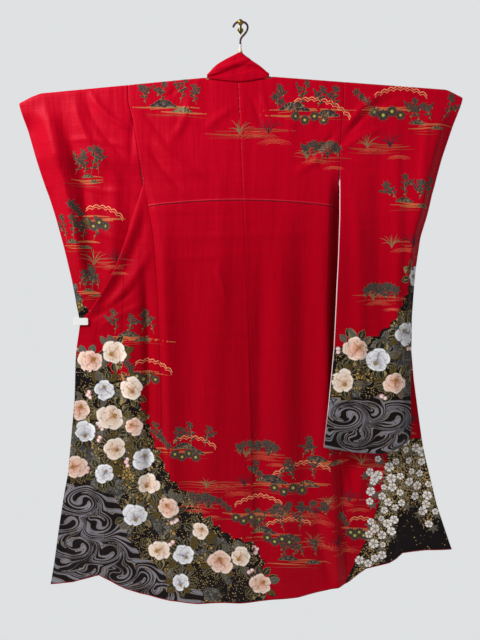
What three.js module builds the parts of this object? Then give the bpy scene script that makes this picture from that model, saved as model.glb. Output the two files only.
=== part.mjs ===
// A furisode (long-sleeved kimono) hung by its shoulders on a kimono hanger, seen from its back, with the
// hanger's hook on a brass peg. Millimetres, +Z up, -Y towards the viewer, origin at the middle of the
// peg plate's back, on the wall. Cloth is a thin wall; every sewn piece is a solid of its own.
import * as THREE from 'three';

// ---- driving sizes ----
const CLOTH = 2;             // thickness of a lined silk wall
const SEAM = 0.3;            // gap between two sewn pieces
const EDGE_FLAT = 6;         // width of the back's turned edge that lies along the front
const TABLE_ZERO = -6.5;     // the tables' heights count from here, just under the plate's middle
const ROD_Y = -46;           // the hanger's rod stands this far from the wall
const ROD_RADIUS = 9;
const ROD_MIDDLE_Z = -148.4; // height of the rod's axis at the hanger's middle
const OVER_ROD = 10.6;       // radius of the cloth's middle surface over the rod
const NAPE_LAP = 4;          // the nape's collar hides this much of the back's neckline
const HEM_Z = -1750;         // nominal hem height, before the hem's own line
const HEM_FROM = -900;       // the hem's line is felt below this height
const ARMHOLE_END = -380;    // the sleeve is sewn to the body down to here
const EDGE_TURNED = -520;    // the front's free edge has turned to the viewer here
const EDGE_STRAIGHT = -430;  // and still faces the wall here
const CLIP_Z = -883;         // middle of the clip that holds the left front
const FOLD_END = -866;       // the front's long fold ends here, just above the clip
const KENSAKI = -405;        // point where the okumi (overlap panel) starts
const COLLAR_END = -1045;    // lower end of the collar on the fronts
const CLIP = { from: -524, to: -477, height: 22, jaw: 4, corner: 4 };
const LINING = 1;            // thickness of the lining edge
const SHOULDER_ROWS = 3;     // rows of cells over a quarter turn of the rod

// ---- tables: one row for each height or station, lengths in mm ----
const HEM_LINE = [ // x across, z of the hem
  { x: -622, z: -1747 }, { x: -546, z: -1739 }, { x: -464, z: -1718 }, { x: -377, z: -1762 },
  { x: -328, z: -1781 }, { x: -247, z: -1802 }, { x: -137, z: -1811 }, { x: 0, z: -1809 },
  { x: 81, z: -1802 }, { x: 190, z: -1788 }, { x: 310, z: -1759 }, { x: 350, z: -1748 },
  { x: 413, z: -1701 }, { x: 488, z: -1678 }, { x: 531, z: -1645 }, { x: 596, z: -1638 },
  { x: 691, z: -1631 },
];
const CENTRE_SEAM = [
  { z: -150, x: -7 }, { z: -500, x: 8 }, { z: -900, x: 26 }, { z: -1300, x: 40 }, { z: -1750, x: 48 },
];
const BACK_DEPTH = [ // how far in front of the wall the back panels hang
  { z: -150, y: -56.6 }, { z: -380, y: -57.6 }, { z: -520, y: -66 }, { z: -900, y: -68 },
  { z: -1750, y: -72 },
];
const COLLAR_WIDTH = [{ z: -150, width: 40 }, { z: -300, width: 55 }, { z: -1100, width: 55 }];
const OKUMI_WIDTH = [ // above the clip, up to its point
  { z: -400, width: 0 }, { z: -430, width: 10 }, { z: -600, width: 36 }, { z: -880, width: 85 },
];
const NAPE = [ // the collar at the back of the neck: heights of its seam, band, fold and top
  { x: -100, seam: -153, band: -149.6, fold: -146.8, top: -143.6 },
  { x: -73, seam: -156, band: -148, fold: -139, top: -113 },
  { x: -45, seam: -159, band: -146, fold: -128, top: -97 },
  { x: -16, seam: -162, band: -143, fold: -117, top: -83 },
  { x: 0, seam: -162, band: -139, fold: -114, top: -74.5 },
  { x: 17, seam: -161, band: -135, fold: -112, top: -88 },
  { x: 38, seam: -158, band: -128, fold: -113, top: -105 },
  { x: 61, seam: -154, band: -129, fold: -124, top: -119 },
  { x: 86, seam: -149, band: -146.4, fold: -144.4, top: -142 },
];
const LEFT = {
  name: 'left',
  sign: -1,
  rodSlope: 0.092,
  rodEnd: 598,
  turnWidth: 22,
  clipped: true,
  sideEdge: [ // armhole and side seam, outwards from the middle
    { z: -220, out: 337 }, { z: -280, out: 323 }, { z: -380, out: 308 }, { z: -444, out: 297 },
    { z: -528, out: 284 }, { z: -606, out: 270 }, { z: -710, out: 263 }, { z: -824, out: 258 },
    { z: -1134, out: 250 }, { z: -1750, out: 250 },
  ],
  outerEdge: [ // the fold's line above the clip, the front's free edge below it
    { z: -380, out: 300 }, { z: -456, out: 298 }, { z: -512, out: 314 }, { z: -573, out: 337 },
    { z: -616, out: 350 }, { z: -663, out: 367 }, { z: -713, out: 387 }, { z: -760, out: 413 },
    { z: -804, out: 440 }, { z: -842, out: 466 }, { z: -866, out: 488 }, { z: -883, out: 502 },
    { z: -900, out: 506 }, { z: -973, out: 517 }, { z: -1134, out: 526 }, { z: -1374, out: 553 },
    { z: -1451, out: 569 }, { z: -1563, out: 589 }, { z: -1666, out: 606 }, { z: -1750, out: 622 },
  ],
  collarEdge: [ // the collar's edge on the wall side, from the neck to the clip
    { z: -150, out: 62 }, { z: -300, out: 105 }, { z: -456, out: 165 }, { z: -600, out: 235 },
    { z: -740, out: 330 }, { z: -820, out: 410 }, { z: -866, out: 480 },
  ],
  okumiSeam: [
    { z: -866, out: 366 }, { z: -1200, out: 400 }, { z: -1485, out: 428 }, { z: -1600, out: 440 },
    { z: -1750, out: 464 },
  ],
  frontDepth: [ // y of the fold's wall side, and half the fold's thickness
    { z: -150, y: -35.4, half: 4 }, { z: -380, y: -34, half: 4 }, { z: -450, y: -43, half: 4 },
    { z: -520, y: -52, half: 4 }, { z: -760, y: -52, half: 4 }, { z: -840, y: -51, half: 3.5 },
    { z: -855, y: -50.5, half: 0.5 }, { z: -925, y: -50.5, half: 0.5 }, { z: -1010, y: -57, half: 2 },
    { z: -1750, y: -62, half: 2 },
  ],
  sleeveIn: [
    { z: -220, out: 337 }, { z: -280, out: 323 }, { z: -380, out: 308 }, { z: -450, out: 301 },
    { z: -900, out: 296 }, { z: -1300, out: 266 },
  ],
  sleeveOut: [
    { z: -220, out: 669 }, { z: -420, out: 619 }, { z: -551, out: 580 },
    { z: -658, out: 553 }, { z: -752, out: 532 }, { z: -847, out: 512 }, { z: -883, out: 506 },
    { z: -1000, out: 503 }, { z: -1250, out: 506 }, { z: -1266, out: 500 }, { z: -1290, out: 480 },
  ],
  sleeveDepth: [ // y of the sleeve's middle, depth of its ridge, and fall of its outer strip
    { z: -150, y: -46, ridge: 0, fall: 2 }, { z: -260, y: -46, ridge: 9, fall: 14 },
    { z: -380, y: -46, ridge: 15, fall: 16 }, { z: -430, y: -38, ridge: 15, fall: 13 },
    { z: -460, y: -35, ridge: 15, fall: 10 }, { z: -600, y: -35, ridge: 15, fall: 10 },
    { z: -750, y: -35, ridge: 9, fall: 4 }, { z: -850, y: -36, ridge: 3, fall: -8 },
    { z: -883, y: -36, ridge: 2, fall: -10 }, { z: -950, y: -36, ridge: 2, fall: -6 },
    { z: -1290, y: -34, ridge: 3, fall: 0 },
  ],
  ridgeAt: [{ z: -190, share: 0.78 }, { z: -290, share: 0.73 }, { z: -600, share: 0.8 },
    { z: -850, share: 0.86 }],
  sleeveBottom: [{ share: 0, z: -1272 }, { share: 0.4, z: -1288 }, { share: 0.8, z: -1292 },
    { share: 1, z: -1266 }],
};
const RIGHT = {
  name: 'right',
  sign: 1,
  rodSlope: 0.072,
  rodEnd: 616,
  turnWidth: 34,
  clipped: false,
  sideEdge: [
    { z: -220, out: 311 }, { z: -280, out: 306 }, { z: -380, out: 302 }, { z: -456, out: 301 },
    { z: -600, out: 300 }, { z: -900, out: 300 }, { z: -1200, out: 312 }, { z: -1500, out: 335 },
    { z: -1750, out: 350 },
  ],
  outerEdge: [
    { z: -380, out: 304 }, { z: -456, out: 304 }, { z: -512, out: 318 }, { z: -573, out: 341 },
    { z: -616, out: 356 }, { z: -663, out: 374 }, { z: -713, out: 396 }, { z: -760, out: 424 },
    { z: -804, out: 454 }, { z: -842, out: 484 }, { z: -866, out: 508 }, { z: -900, out: 526 },
    { z: -967, out: 541 }, { z: -1080, out: 553 }, { z: -1330, out: 589 }, { z: -1560, out: 638 },
    { z: -1750, out: 691 },
  ],
  collarEdge: [
    { z: -150, out: 52 }, { z: -300, out: 95 }, { z: -456, out: 160 }, { z: -600, out: 238 },
    { z: -740, out: 342 }, { z: -820, out: 430 }, { z: -866, out: 500 },
  ],
  okumiSeam: [
    { z: -866, out: 388 }, { z: -1200, out: 432 }, { z: -1485, out: 486 }, { z: -1600, out: 508 },
    { z: -1750, out: 531 },
  ],
  frontDepth: [
    { z: -150, y: -35.4, half: 5 }, { z: -380, y: -33, half: 5 }, { z: -450, y: -32, half: 5 },
    { z: -520, y: -34, half: 5 }, { z: -840, y: -36, half: 5 }, { z: -900, y: -38, half: 4 },
    { z: -1300, y: -44, half: 3 }, { z: -1750, y: -54, half: 2 },
  ],
  sleeveIn: [
    { z: -220, out: 311 }, { z: -280, out: 306 }, { z: -380, out: 302 }, { z: -456, out: 302 },
    { z: -682, out: 298 }, { z: -966, out: 289 }, { z: -1146, out: 275 }, { z: -1277, out: 262 },
  ],
  sleeveOut: [
    { z: -208, out: 671 }, { z: -453, out: 599 }, { z: -535, out: 579 },
    { z: -622, out: 554 }, { z: -729, out: 541 }, { z: -870, out: 534 }, { z: -1126, out: 536 },
    { z: -1240, out: 540 }, { z: -1266, out: 530 }, { z: -1290, out: 508 },
  ],
  sleeveDepth: [
    { z: -150, y: -46, ridge: 0, fall: 2 }, { z: -260, y: -46, ridge: 5, fall: 12 },
    { z: -380, y: -47, ridge: 9, fall: 20 }, { z: -460, y: -63, ridge: 9, fall: 24 },
    { z: -560, y: -82, ridge: 8, fall: 26 }, { z: -800, y: -85, ridge: 6, fall: 24 },
    { z: -1290, y: -88, ridge: 3, fall: 10 },
  ],
  ridgeAt: [{ z: -190, share: 0.84 }, { z: -450, share: 0.86 }, { z: -850, share: 0.84 }],
  sleeveBottom: [{ share: 0, z: -1272 }, { share: 0.4, z: -1288 }, { share: 0.75, z: -1292 },
    { share: 1, z: -1266 }],
};
// heights of the rows of cells down the body, closer together round the front's fold and its clip
const BODY_ROWS = [-175, -220, -280, -340, ARMHOLE_END, -430, -460, -490, -520, -570, -620, -638, -655,
  -680, -725, -765, -785, -804, -840, -866, -900, -960, COLLAR_END, COLLAR_END - 5, -1160, -1300, -1450,
  -1600, HEM_Z];

// heights of the rows of cells down a sleeve at the body, closer together where it comes free
const SLEEVE_ROWS = [-220, -280, -340, ARMHOLE_END, -410, -440, -475, -520, -630, -760, -848, -900,
  -1000, -1140];

// ---- finishes ----
const finish = (color, roughness, metalness = 0) => (
  new THREE.MeshStandardMaterial({ color, roughness, metalness }));
const redSilk = finish('#b80020', 0.55);
const blackSilk = finish('#171311', 0.6);
const paleLining = finish('#ebd5d8', 0.6);
const brass = finish('#8a7838', 0.35, 1);
const hookPaint = finish('#4a1826', 0.35);
const bambooRod = finish('#b99a6b', 0.6);
const whitePlastic = finish('#f2f1ee', 0.4);
const creamPlastic = finish('#e9dcc0', 0.45);

// ---- small helpers ----
const mix = (a, b, share) => a + (b - a) * share;
const clamp = (value, low = 0, high = 1) => Math.min(high, Math.max(low, value));
/** 0 before `from`, 1 after `to`, eased between them. */
function ease(from, to, value) {
  const share = clamp((value - from) / (to - from));
  return share * share * (3 - 2 * share);
}
/** The value of column `to` where column `from` holds `at`, straight between rows. */
function read(rows, from, to, at) {
  const sorted = rows[0][from] < rows[rows.length - 1][from] ? rows : [...rows].reverse();
  const next = clamp(sorted.findIndex((row) => row[from] > at), -1, sorted.length - 1);
  const upper = next === -1 ? sorted.length - 1 : Math.max(1, next);
  const [low, high] = [sorted[upper - 1], sorted[upper]];
  return mix(low[to], high[to], clamp((at - low[from]) / (high[from] - low[from])));
}
/** The same, with neighbouring rows blended so that the line has no corners. */
function readSoft(rows, from, to, at, reach = 30) {
  let sum = 0;
  for (const step of [-1, -0.5, 0, 0.5, 1]) sum += read(rows, from, to, at + step * reach);
  return sum / 5;
}
const range = (count) => Array.from({ length: count + 1 }, (_, index) => index / count);
const rodAxisZ = (side, out) => ROD_MIDDLE_Z - side.rodSlope * Math.max(out, 0);
/** How far the hem's own line moves a point of nominal height z up or down. */
function hemShift(x, z) {
  const felt = clamp((HEM_FROM - z) / (HEM_FROM - HEM_Z));
  return (read(HEM_LINE, 'x', 'z', x) - HEM_Z) * felt ** 1.5;
}

/**
 * A closed wall of cloth round a grid of middle points; a ring joins its last row to its first. A point
 * may carry the direction its outer face looks in, so that both sides of a seam are cut alike.
 */
function clothWall(grid, thickness = CLOTH, ring = false) {
  const rows = grid.length;
  const columns = grid[0].length;
  const at = (row, column) => {
    const r = ring ? (row + rows) % rows : clamp(row, 0, rows - 1);
    return grid[r][clamp(column, 0, columns - 1)];
  };
  const square = (row, column) => {
    const across = at(row, column + 1).clone().sub(at(row, column - 1));
    const along = at(row + 1, column).clone().sub(at(row - 1, column));
    return across.cross(along).normalize();
  };
  // points that carry no direction follow the ones that do, whichever way round the grid runs
  const known = grid[rows - 1].findIndex((point) => point.facing);
  const against = known >= 0 && square(rows - 1, known).dot(grid[rows - 1][known].facing) < 0;
  const faces = [];
  for (const half of [thickness / 2, -thickness / 2]) {
    for (let row = 0; row < rows; row += 1) {
      for (let column = 0; column < columns; column += 1) {
        const normal = at(row, column).facing
          ?? square(row, column).multiplyScalar(against ? -1 : 1);
        faces.push(...at(row, column).clone().addScaledVector(normal, half).toArray());
      }
    }
  }
  const front = (row, column) => (row % rows) * columns + column;
  const back = (row, column) => front(row, column) + rows * columns;
  const index = [];
  const quad = (a, b, c, d) => index.push(a, b, c, a, c, d);
  const lastRow = ring ? rows : rows - 1;
  for (let row = 0; row < lastRow; row += 1) {
    for (let column = 0; column < columns - 1; column += 1) {
      quad(front(row, column), front(row, column + 1), front(row + 1, column + 1), front(row + 1, column));
      quad(back(row, column), back(row + 1, column), back(row + 1, column + 1), back(row, column + 1));
    }
    quad(front(row, 0), front(row + 1, 0), back(row + 1, 0), back(row, 0));
    const end = columns - 1;
    quad(front(row, end), back(row, end), back(row + 1, end), front(row + 1, end));
  }
  if (!ring) {
    for (let column = 0; column < columns - 1; column += 1) {
      quad(front(0, column), back(0, column), back(0, column + 1), front(0, column + 1));
      const end = rows - 1;
      quad(front(end, column), front(end, column + 1), back(end, column + 1), back(end, column));
    }
  }
  const geometry = new THREE.BufferGeometry();
  geometry.setAttribute('position', new THREE.Float32BufferAttribute(faces, 3));
  geometry.setIndex(index);
  return facingOut(geometry);
}
/** Turns every face round where the mesh encloses a negative volume. */
function facingOut(geometry) {
  const position = geometry.getAttribute('position');
  const index = [...geometry.getIndex().array];
  const corner = (i) => new THREE.Vector3().fromBufferAttribute(position, index[i]);
  let volume = 0;
  for (let i = 0; i < index.length; i += 3) {
    volume += corner(i).dot(corner(i + 1).cross(corner(i + 2)));
  }
  if (volume < 0) {
    for (let i = 0; i < index.length; i += 3) [index[i], index[i + 1]] = [index[i + 1], index[i]];
  }
  geometry.setIndex(index);
  geometry.computeVertexNormals();
  return geometry;
}
/** A point given outwards from the middle of one side, with the way its cloth faces if that is known. */
function place(side, out, y, z, facing = null) {
  const point = new THREE.Vector3(side.sign * out, y, z);
  if (facing) point.facing = new THREE.Vector3(side.sign * facing.out, facing.y, facing.z ?? 0);
  return point;
}
const TO_VIEWER = { out: 0, y: -1 };

const model = new THREE.Group();
const garment = new THREE.Group();
garment.position.z = TABLE_ZERO;
model.add(garment);
function add(name, geometry, material, parent = garment) {
  const mesh = new THREE.Mesh(geometry, material);
  mesh.name = name;
  parent.add(mesh);
  return mesh;
}

// ---- back panels ----
/** Depth of a back panel: its hang, its soft folds, its waist tuck and its turned side edge. */
function backDepth(side, out, x, z) {
  const folds = 2.5 * ease(-450, -1500, z) * Math.sin(x / 26 + z / 900);
  const tuckZ = -510 - 20 * (x / 300) ** 2;
  const tuck = 2 * ease(tuckZ + 4, tuckZ - 4, z) * ease(tuckZ - 160, tuckZ - 20, z);
  const hang = readSoft(BACK_DEPTH, 'z', 'y', z) + folds + tuck;
  const edge = readSoft(side.frontDepth, 'z', 'y', z) - 2 * read(side.frontDepth, 'z', 'half', z);
  const fromEdge = read(side.sideEdge, 'z', 'out', z) - out;
  const turned = ease(-400, -540, z) * ease(side.turnWidth, EDGE_FLAT, fromEdge);
  return mix(hang, edge, turned);
}

/** Cloth carried on over the rod: angle 0 faces the viewer, a half turn faces the wall. */
function overRod(side, out, angle, drop = 0) {
  const facing = { out: 0, y: -Math.cos(angle), z: Math.sin(angle) };
  const z = rodAxisZ(side, out) - drop + OVER_ROD * facing.z;
  return place(side, out, ROD_Y + OVER_ROD * facing.y, z, facing);
}
// half the gap on top of the shoulder, as an angle
const RIDGE_GAP = SEAM / 2 / OVER_ROD;
/** Outwards from this the panels pass over the shoulder; nearer the middle they end at the neckline. */
const NECK_STEP = 9; // width over which the neckline climbs onto the shoulder
const neckOut = (side) => side.collarEdge[0].out + COLLAR_WIDTH[0].width;

function backPanel(side) {
  const outAt = (share, z) => {
    const centre = side.sign * readSoft(CENTRE_SEAM, 'z', 'x', z) + SEAM / 2;
    return mix(centre, read(side.sideEdge, 'z', 'out', z) - SEAM / 2, share);
  };
  const shareAt = (out) => (out - outAt(0, -160)) / (outAt(1, -160) - outAt(0, -160));
  const dropAt = (out) => {
    const neck = read(NAPE, 'x', 'seam', side.sign * out) + NAPE_LAP;
    return out < neckOut(side) + SEAM ? Math.max(0, rodAxisZ(side, out) - neck) : 0;
  };
  const turnShare = 0.9; // the even columns end here, where the side edge starts to turn
  const edgeShare = 0.975;
  const even = [...range(7).map((share) => share * turnShare), edgeShare, 1];
  const step = range(3).map((share) => shareAt(neckOut(side) + SEAM / 2 + NECK_STEP * share));
  const atShoulder = [0, step[0] / 2, ...step,
    ...range(3).slice(1).map((share) => mix(step[3], edgeShare, share)), 1];
  const hanging = [-160, ...BODY_ROWS].map((row, index) => even.map((evenShare, column) => {
    const spread = ease(-0.5, 4, index);
    const share = index === 0 ? atShoulder[column] : mix(atShoulder[column], evenShare, spread);
    const top = outAt(share, -160);
    const belowRod = rodAxisZ(side, top) - dropAt(top) - 7 * index;
    const z = row > -240 ? Math.min(index === 0 ? 0 : row, belowRod) : row;
    const out = outAt(share, z);
    const x = side.sign * out;
    const facing = share === 0 || share === 1 ? TO_VIEWER : null;
    return place(side, out, backDepth(side, out, x, z), z + hemShift(x, z), facing);
  }));
  const shoulder = range(SHOULDER_ROWS).slice(1).reverse().map((up) => atShoulder.map((share) => {
    const out = outAt(share, -160);
    const climb = clamp((out - neckOut(side) - SEAM / 2) / NECK_STEP);
    const full = mix(0.2, Math.PI / 2 - RIDGE_GAP, climb);
    return overRod(side, out, up * full, dropAt(out));
  }));
  return clothWall([...shoulder, ...hanging]);
}

// ---- front panels, okumi and collar ----
/**
 * The front's cloth at one height: a line from the side seam outwards, round the long fold and back to
 * the collar's edge on the wall side. Below the fold it is straight and its outer face shows.
 */
function frontLine(side, z) {
  const folded = z > FOLD_END;
  const start = read(side.sideEdge, 'z', 'out', z) + SEAM / 2;
  const outer = Math.max(read(side.outerEdge, 'z', 'out', z), start);
  const inner = folded ? read(side.collarEdge, 'z', 'out', z) : outer;
  const half = read(side.frontDepth, 'z', 'half', z);
  const wallY = readSoft(side.frontDepth, 'z', 'y', z);
  const turned = Math.PI * ease(EDGE_TURNED, EDGE_STRAIGHT, z);
  const width = folded ? half * (1 - turned / Math.PI) : 0;
  const centre = outer - width;
  const first = Math.max(0, centre - start);
  const bend = folded ? (Math.PI - turned) * (width + half) / 2 : 0;
  const total = first + bend + (folded ? centre - inner : 0);
  const wave = (out) => 2.5 * ease(-950, -1500, z) * Math.sin((out - start) / 30) * ease(0, 60, out - start);
  const at = (along) => {
    if (!folded || along < first) {
      const out = start + along;
      return { out, y: wallY - 2 * half + wave(out), facing: TO_VIEWER };
    }
    const past = along - first - bend;
    if (past >= 0) return { out: centre - past, y: wallY, facing: { out: 0, y: 1 } };
    const angle = turned + (Math.PI - turned) * (along - first) / bend;
    const facing = { out: Math.sin(angle), y: -Math.cos(angle) };
    return { out: centre + width * facing.out, y: wallY - half + half * facing.y, facing };
  };
  const collarFrom = total - read(COLLAR_WIDTH, 'z', 'width', z);
  const clothTo = z >= COLLAR_END ? collarFrom - SEAM / 2 : total;
  const okumiFrom = folded
    ? clothTo - read(OKUMI_WIDTH, 'z', 'width', z)
    : read(side.okumiSeam, 'z', 'out', z) - start;
  return { at, total, collarFrom, clothTo, okumiFrom };
}
/** A wall of the front's cloth, with its columns at given lengths along the line, row by row downwards. */
function frontWall(side, { lengths, top = 0, end = HEM_Z, firstAngle = null }) {
  const grid = [];
  if (firstAngle !== null) {
    const line = frontLine(side, -150);
    const turns = Math.round(SHOULDER_ROWS * (Math.PI - firstAngle) / (Math.PI / 2));
    for (const turn of range(turns)) {
      const angle = mix(firstAngle, Math.PI, turn);
      grid.push(lengths(line).map((along) => overRod(side, line.at(along).out, angle)));
    }
  }
  BODY_ROWS.filter((z) => z <= top && z >= end).forEach((row, index) => {
    const count = lengths(frontLine(side, row)).length;
    grid.push(Array.from({ length: count }, (_, column) => {
      const rough = frontLine(side, row);
      const belowRod = rodAxisZ(side, rough.at(lengths(rough)[column]).out) - 7 * (index + 1);
      const z = row > -240 && firstAngle !== null ? Math.min(row, belowRod) : row;
      const line = frontLine(side, z);
      const { out, y, facing } = line.at(lengths(line)[column]);
      return place(side, out, y, z + hemShift(side.sign * out, z), facing);
    }));
  });
  return clothWall(grid);
}
const frontPanel = (side) => frontWall(side, {
  lengths: (line) => range(7).map((share) => share * (line.okumiFrom - SEAM)),
  firstAngle: Math.PI / 2 + RIDGE_GAP,
});
const okumi = (side) => frontWall(side, {
  lengths: ({ okumiFrom, clothTo }) => range(4).map((share) => mix(okumiFrom + SEAM, clothTo, share)),
  top: KENSAKI - 20,
});
const frontCollar = (side) => frontWall(side, {
  lengths: ({ collarFrom, total }) => range(3).map((share) => mix(collarFrom + SEAM, total, share)),
  end: COLLAR_END,
  firstAngle: Math.PI * 0.3,
});
/** The collar at the back of the neck: a band on the neckline, a recess, a fold and a raised peak. */
function napeCollar() {
  const profile = (row) => {
    const lift = Math.max(0, row.top - row.fold - 6);
    return [
      { z: row.seam, y: -59.6 },
      { z: mix(row.seam, row.band, 0.5), y: -61.4 },
      { z: row.band, y: -61 },
      { z: row.band + 1.2, y: -57.5 },
      { z: mix(row.band, row.fold, 0.6) + 1, y: -57.5 },
      { z: row.fold, y: -61 },
      { z: row.fold + 2.4, y: -61.6 },
      { z: mix(row.fold + 2.4, row.top, 0.5), y: mix(-60, -59, clamp(lift / 20)) },
      { z: row.top, y: mix(-57.6, -54.4, clamp(lift / 20)) },
    ];
  };
  const shares = range(12);
  const low = NAPE[0].x;
  const high = NAPE[NAPE.length - 1].x;
  const columns = shares.map((share) => {
    const x = mix(low, high, share);
    const levels = ['seam', 'band', 'fold', 'top'].map((key) => [key, read(NAPE, 'x', key, x)]);
    return profile(Object.fromEntries(levels)).map((point) => new THREE.Vector3(x, point.y, point.z));
  });
  const grid = columns[0].map((_, level) => columns.map((column) => column[level]));
  return clothWall(grid, 1.6);
}

// ---- sleeves ----
const ARMHOLE_GAP = 0.5;        // between a sleeve and the body it is sewn to
const SEWN_HALF = 1.25;         // half the distance between two layers sewn together
const CLIPPED_SLEEVE_Y = -46.6; // depth of the sleeve's edge inside the clip
const CUFF_COLUMNS = 3;
const PAST_ROD = 3;             // the cloth runs level this far past the rod's end
/** Height of the rod's axis under a sleeve's top, drooping past the rod's end. */
function sleeveTopZ(side, out) {
  const past = Math.max(0, out - side.rodEnd - PAST_ROD);
  return rodAxisZ(side, Math.min(out, side.rodEnd)) - 0.36 * past;
}
/** Where a sleeve's cloth is: share 0 at the body, 1 at the cuff; face -1 viewer's layer, 1 wall's. */
function sleevePoint(side, share, z, topZ, angle) {
  const out = mix(read(side.sleeveIn, 'z', 'out', z), readSoft(side.sleeveOut, 'z', 'out', z, 12), share);
  const half = sleeveHalf(share, z);
  const free = ease(14, 80, topZ - z);
  const ridgeShare = read(side.ridgeAt, 'z', 'share', z);
  const ridge = read(side.sleeveDepth, 'z', 'ridge', z) * Math.exp(-(((share - ridgeShare) / 0.13) ** 2));
  const fall = read(side.sleeveDepth, 'z', 'fall', z) * ease(ridgeShare, 1, share);
  const hung = readSoft(side.sleeveDepth, 'z', 'y', z, 12) + free * (fall - ridge);
  const pinched = side.clipped ? ease(80, 40, Math.abs(z - CLIP_Z)) * ease(440, CLIP.to * -1 - 2, out) : 0;
  const middle = mix(hung, CLIPPED_SLEEVE_Y, pinched);
  const radius = mix(half, SEWN_HALF, pinched);
  return place(side, out, middle - radius * Math.cos(angle), z + radius * Math.sin(angle));
}
/** Half the distance between a sleeve's two layers: open at the body and cuff, sewn below the cuff. */
function sleeveHalf(share, z) {
  const atBody = mix(6.5, OVER_ROD, ease(-440, -370, z));
  const atCuff = mix(SEWN_HALF, 7, ease(-500, -460, z));
  return mix(atBody, atCuff, ease(0.86, 1, share));
}
function sleeve(side) {
  const turns = (count) => range(count).slice(1, -1);
  const inTop = read(side.sleeveIn, 'z', 'out', -150);
  const outTop = read(side.sleeveOut, 'z', 'out', -150);
  const rodShare = (side.rodEnd + PAST_ROD - inTop) / (outTop - inTop);
  const shares = [...range(5).map((share) => share * rodShare),
    ...range(CUFF_COLUMNS).slice(1).map((share) => mix(rodShare, 1, share))];
  const downs = sleeveDowns(side);
  const columns = shares.map((share) => {
    const gap = ARMHOLE_GAP * (1 - share);
    const topZ = sleeveTopZ(side, mix(inTop, outTop, share));
    const bottomZ = read(side.sleeveBottom, 'share', 'z', share);
    const heights = downs.map((down) => mix(topZ, bottomZ, down));
    const ring = [
      ...heights.map((z) => sleevePoint(side, share, z, topZ, 0)),
      ...turns(3).map((turn) => sleevePoint(side, share, bottomZ, topZ, -Math.PI * turn)),
      ...[...heights].reverse().map((z) => sleevePoint(side, share, z, topZ, Math.PI)),
      ...turns(7).map((turn) => sleevePoint(side, share, topZ, topZ, Math.PI * (1 - turn))),
    ];
    return ring.map((point) => point.add(new THREE.Vector3(side.sign * gap, 0, 0)));
  });
  return clothWall(columns[0].map((_, station) => columns.map((column) => column[station])), CLOTH, true);
}
/** The sleeve's rows as shares of its length at the body. */
function sleeveDowns(side) {
  const top = sleeveTopZ(side, read(side.sleeveIn, 'z', 'out', -150));
  const bottom = side.sleeveBottom[0].z;
  return [0, ...SLEEVE_ROWS.map((z) => (z - top) / (bottom - top)), 1];
}
/** A pale strip of lining that shows along the open inner edge of a sleeve's viewer side. */
function liningEdge(side) {
  const tuckedIn = 6;
  const inwards = CLOTH / 2 + SEAM + LINING / 2;
  const grid = SLEEVE_ROWS.filter((z) => z < ARMHOLE_END).map((z) => {
    const edge = sleevePoint(side, 0, z, 0, 0);
    const overhang = 2.5 * ease(-420, -520, z);
    return [SEAM - overhang, tuckedIn].map((reach) => {
      return edge.clone().add(new THREE.Vector3(side.sign * reach, inwards, 0));
    });
  });
  return clothWall(grid, LINING);
}

for (const side of [LEFT, RIGHT]) {
  add(`back_${side.name}`, backPanel(side), redSilk);
  add(`front_${side.name}`, frontPanel(side), redSilk);
  add(`okumi_${side.name}`, okumi(side), blackSilk);
  add(`collar_${side.name}`, frontCollar(side), redSilk);
  add(`sleeve_${side.name}`, sleeve(side), redSilk);
  add(`lining_edge_${side.name}`, liningEdge(side), paleLining);
}
add('collar_nape', napeCollar(), redSilk);

// ---- hanger ----
const HUB = { width: 20, depth: 17, height: 20 };
const NECK_TOP = -73.3;
const NECK_RADIUS = 7;
const BEAD_RADIUS = 4.2;
const STEM_FOOT = -50.6;
const WIRE_RADIUS = 3.1;
const hubTop = ROD_MIDDLE_Z + HUB.height / 2;
const hub = add('hanger_hub', new THREE.BoxGeometry(HUB.width, HUB.depth, HUB.height), bambooRod);
hub.position.set(0, ROD_Y, ROD_MIDDLE_Z);
for (const side of [LEFT, RIGHT]) {
  const inner = HUB.width / 2 + 1.2;
  const from = place(side, inner, ROD_Y, rodAxisZ(side, inner));
  const to = place(side, side.rodEnd, ROD_Y, rodAxisZ(side, side.rodEnd));
  const arm = add(`hanger_arm_${side.name}`,
    new THREE.CylinderGeometry(ROD_RADIUS, ROD_RADIUS, from.distanceTo(to), 24), bambooRod);
  arm.position.copy(from.clone().add(to).multiplyScalar(0.5));
  arm.quaternion.setFromUnitVectors(new THREE.Vector3(0, 1, 0), to.clone().sub(from).normalize());
}
/** A turned piece standing on the hanger's middle line, from [radius, height] pairs. */
function turned(name, pairs, material) {
  const profile = pairs.map(([radius, height]) => new THREE.Vector2(radius, height));
  const mesh = add(name, new THREE.LatheGeometry(profile, 24), material);
  mesh.rotation.x = Math.PI / 2;
  mesh.position.y = ROD_Y;
  return mesh;
}
const neckFoot = hubTop + SEAM;
turned('hanger_neck', [[0, neckFoot], [NECK_RADIUS, neckFoot], [NECK_RADIUS, NECK_TOP], [0, NECK_TOP]],
  bambooRod);
const coneTop = STEM_FOOT - SEAM * 2 - BEAD_RADIUS * 2;
const coneFoot = NECK_TOP + SEAM;
turned('hanger_cone', [[0, coneFoot], [6.2, coneFoot], [3, coneTop], [0, coneTop]], creamPlastic);
const bead = add('hanger_bead', new THREE.SphereGeometry(BEAD_RADIUS, 16, 10), whitePlastic);
bead.position.set(0, ROD_Y, STEM_FOOT - SEAM - BEAD_RADIUS);

// ---- wall peg and hook ----
const PEG_RADIUS = 4;
const BALL_RADIUS = 8.5;
const PLATE_THICKNESS = 3;
const pegZ = -TABLE_ZERO;
const wireTopZ = pegZ + PEG_RADIUS + SEAM + WIRE_RADIUS;
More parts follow.
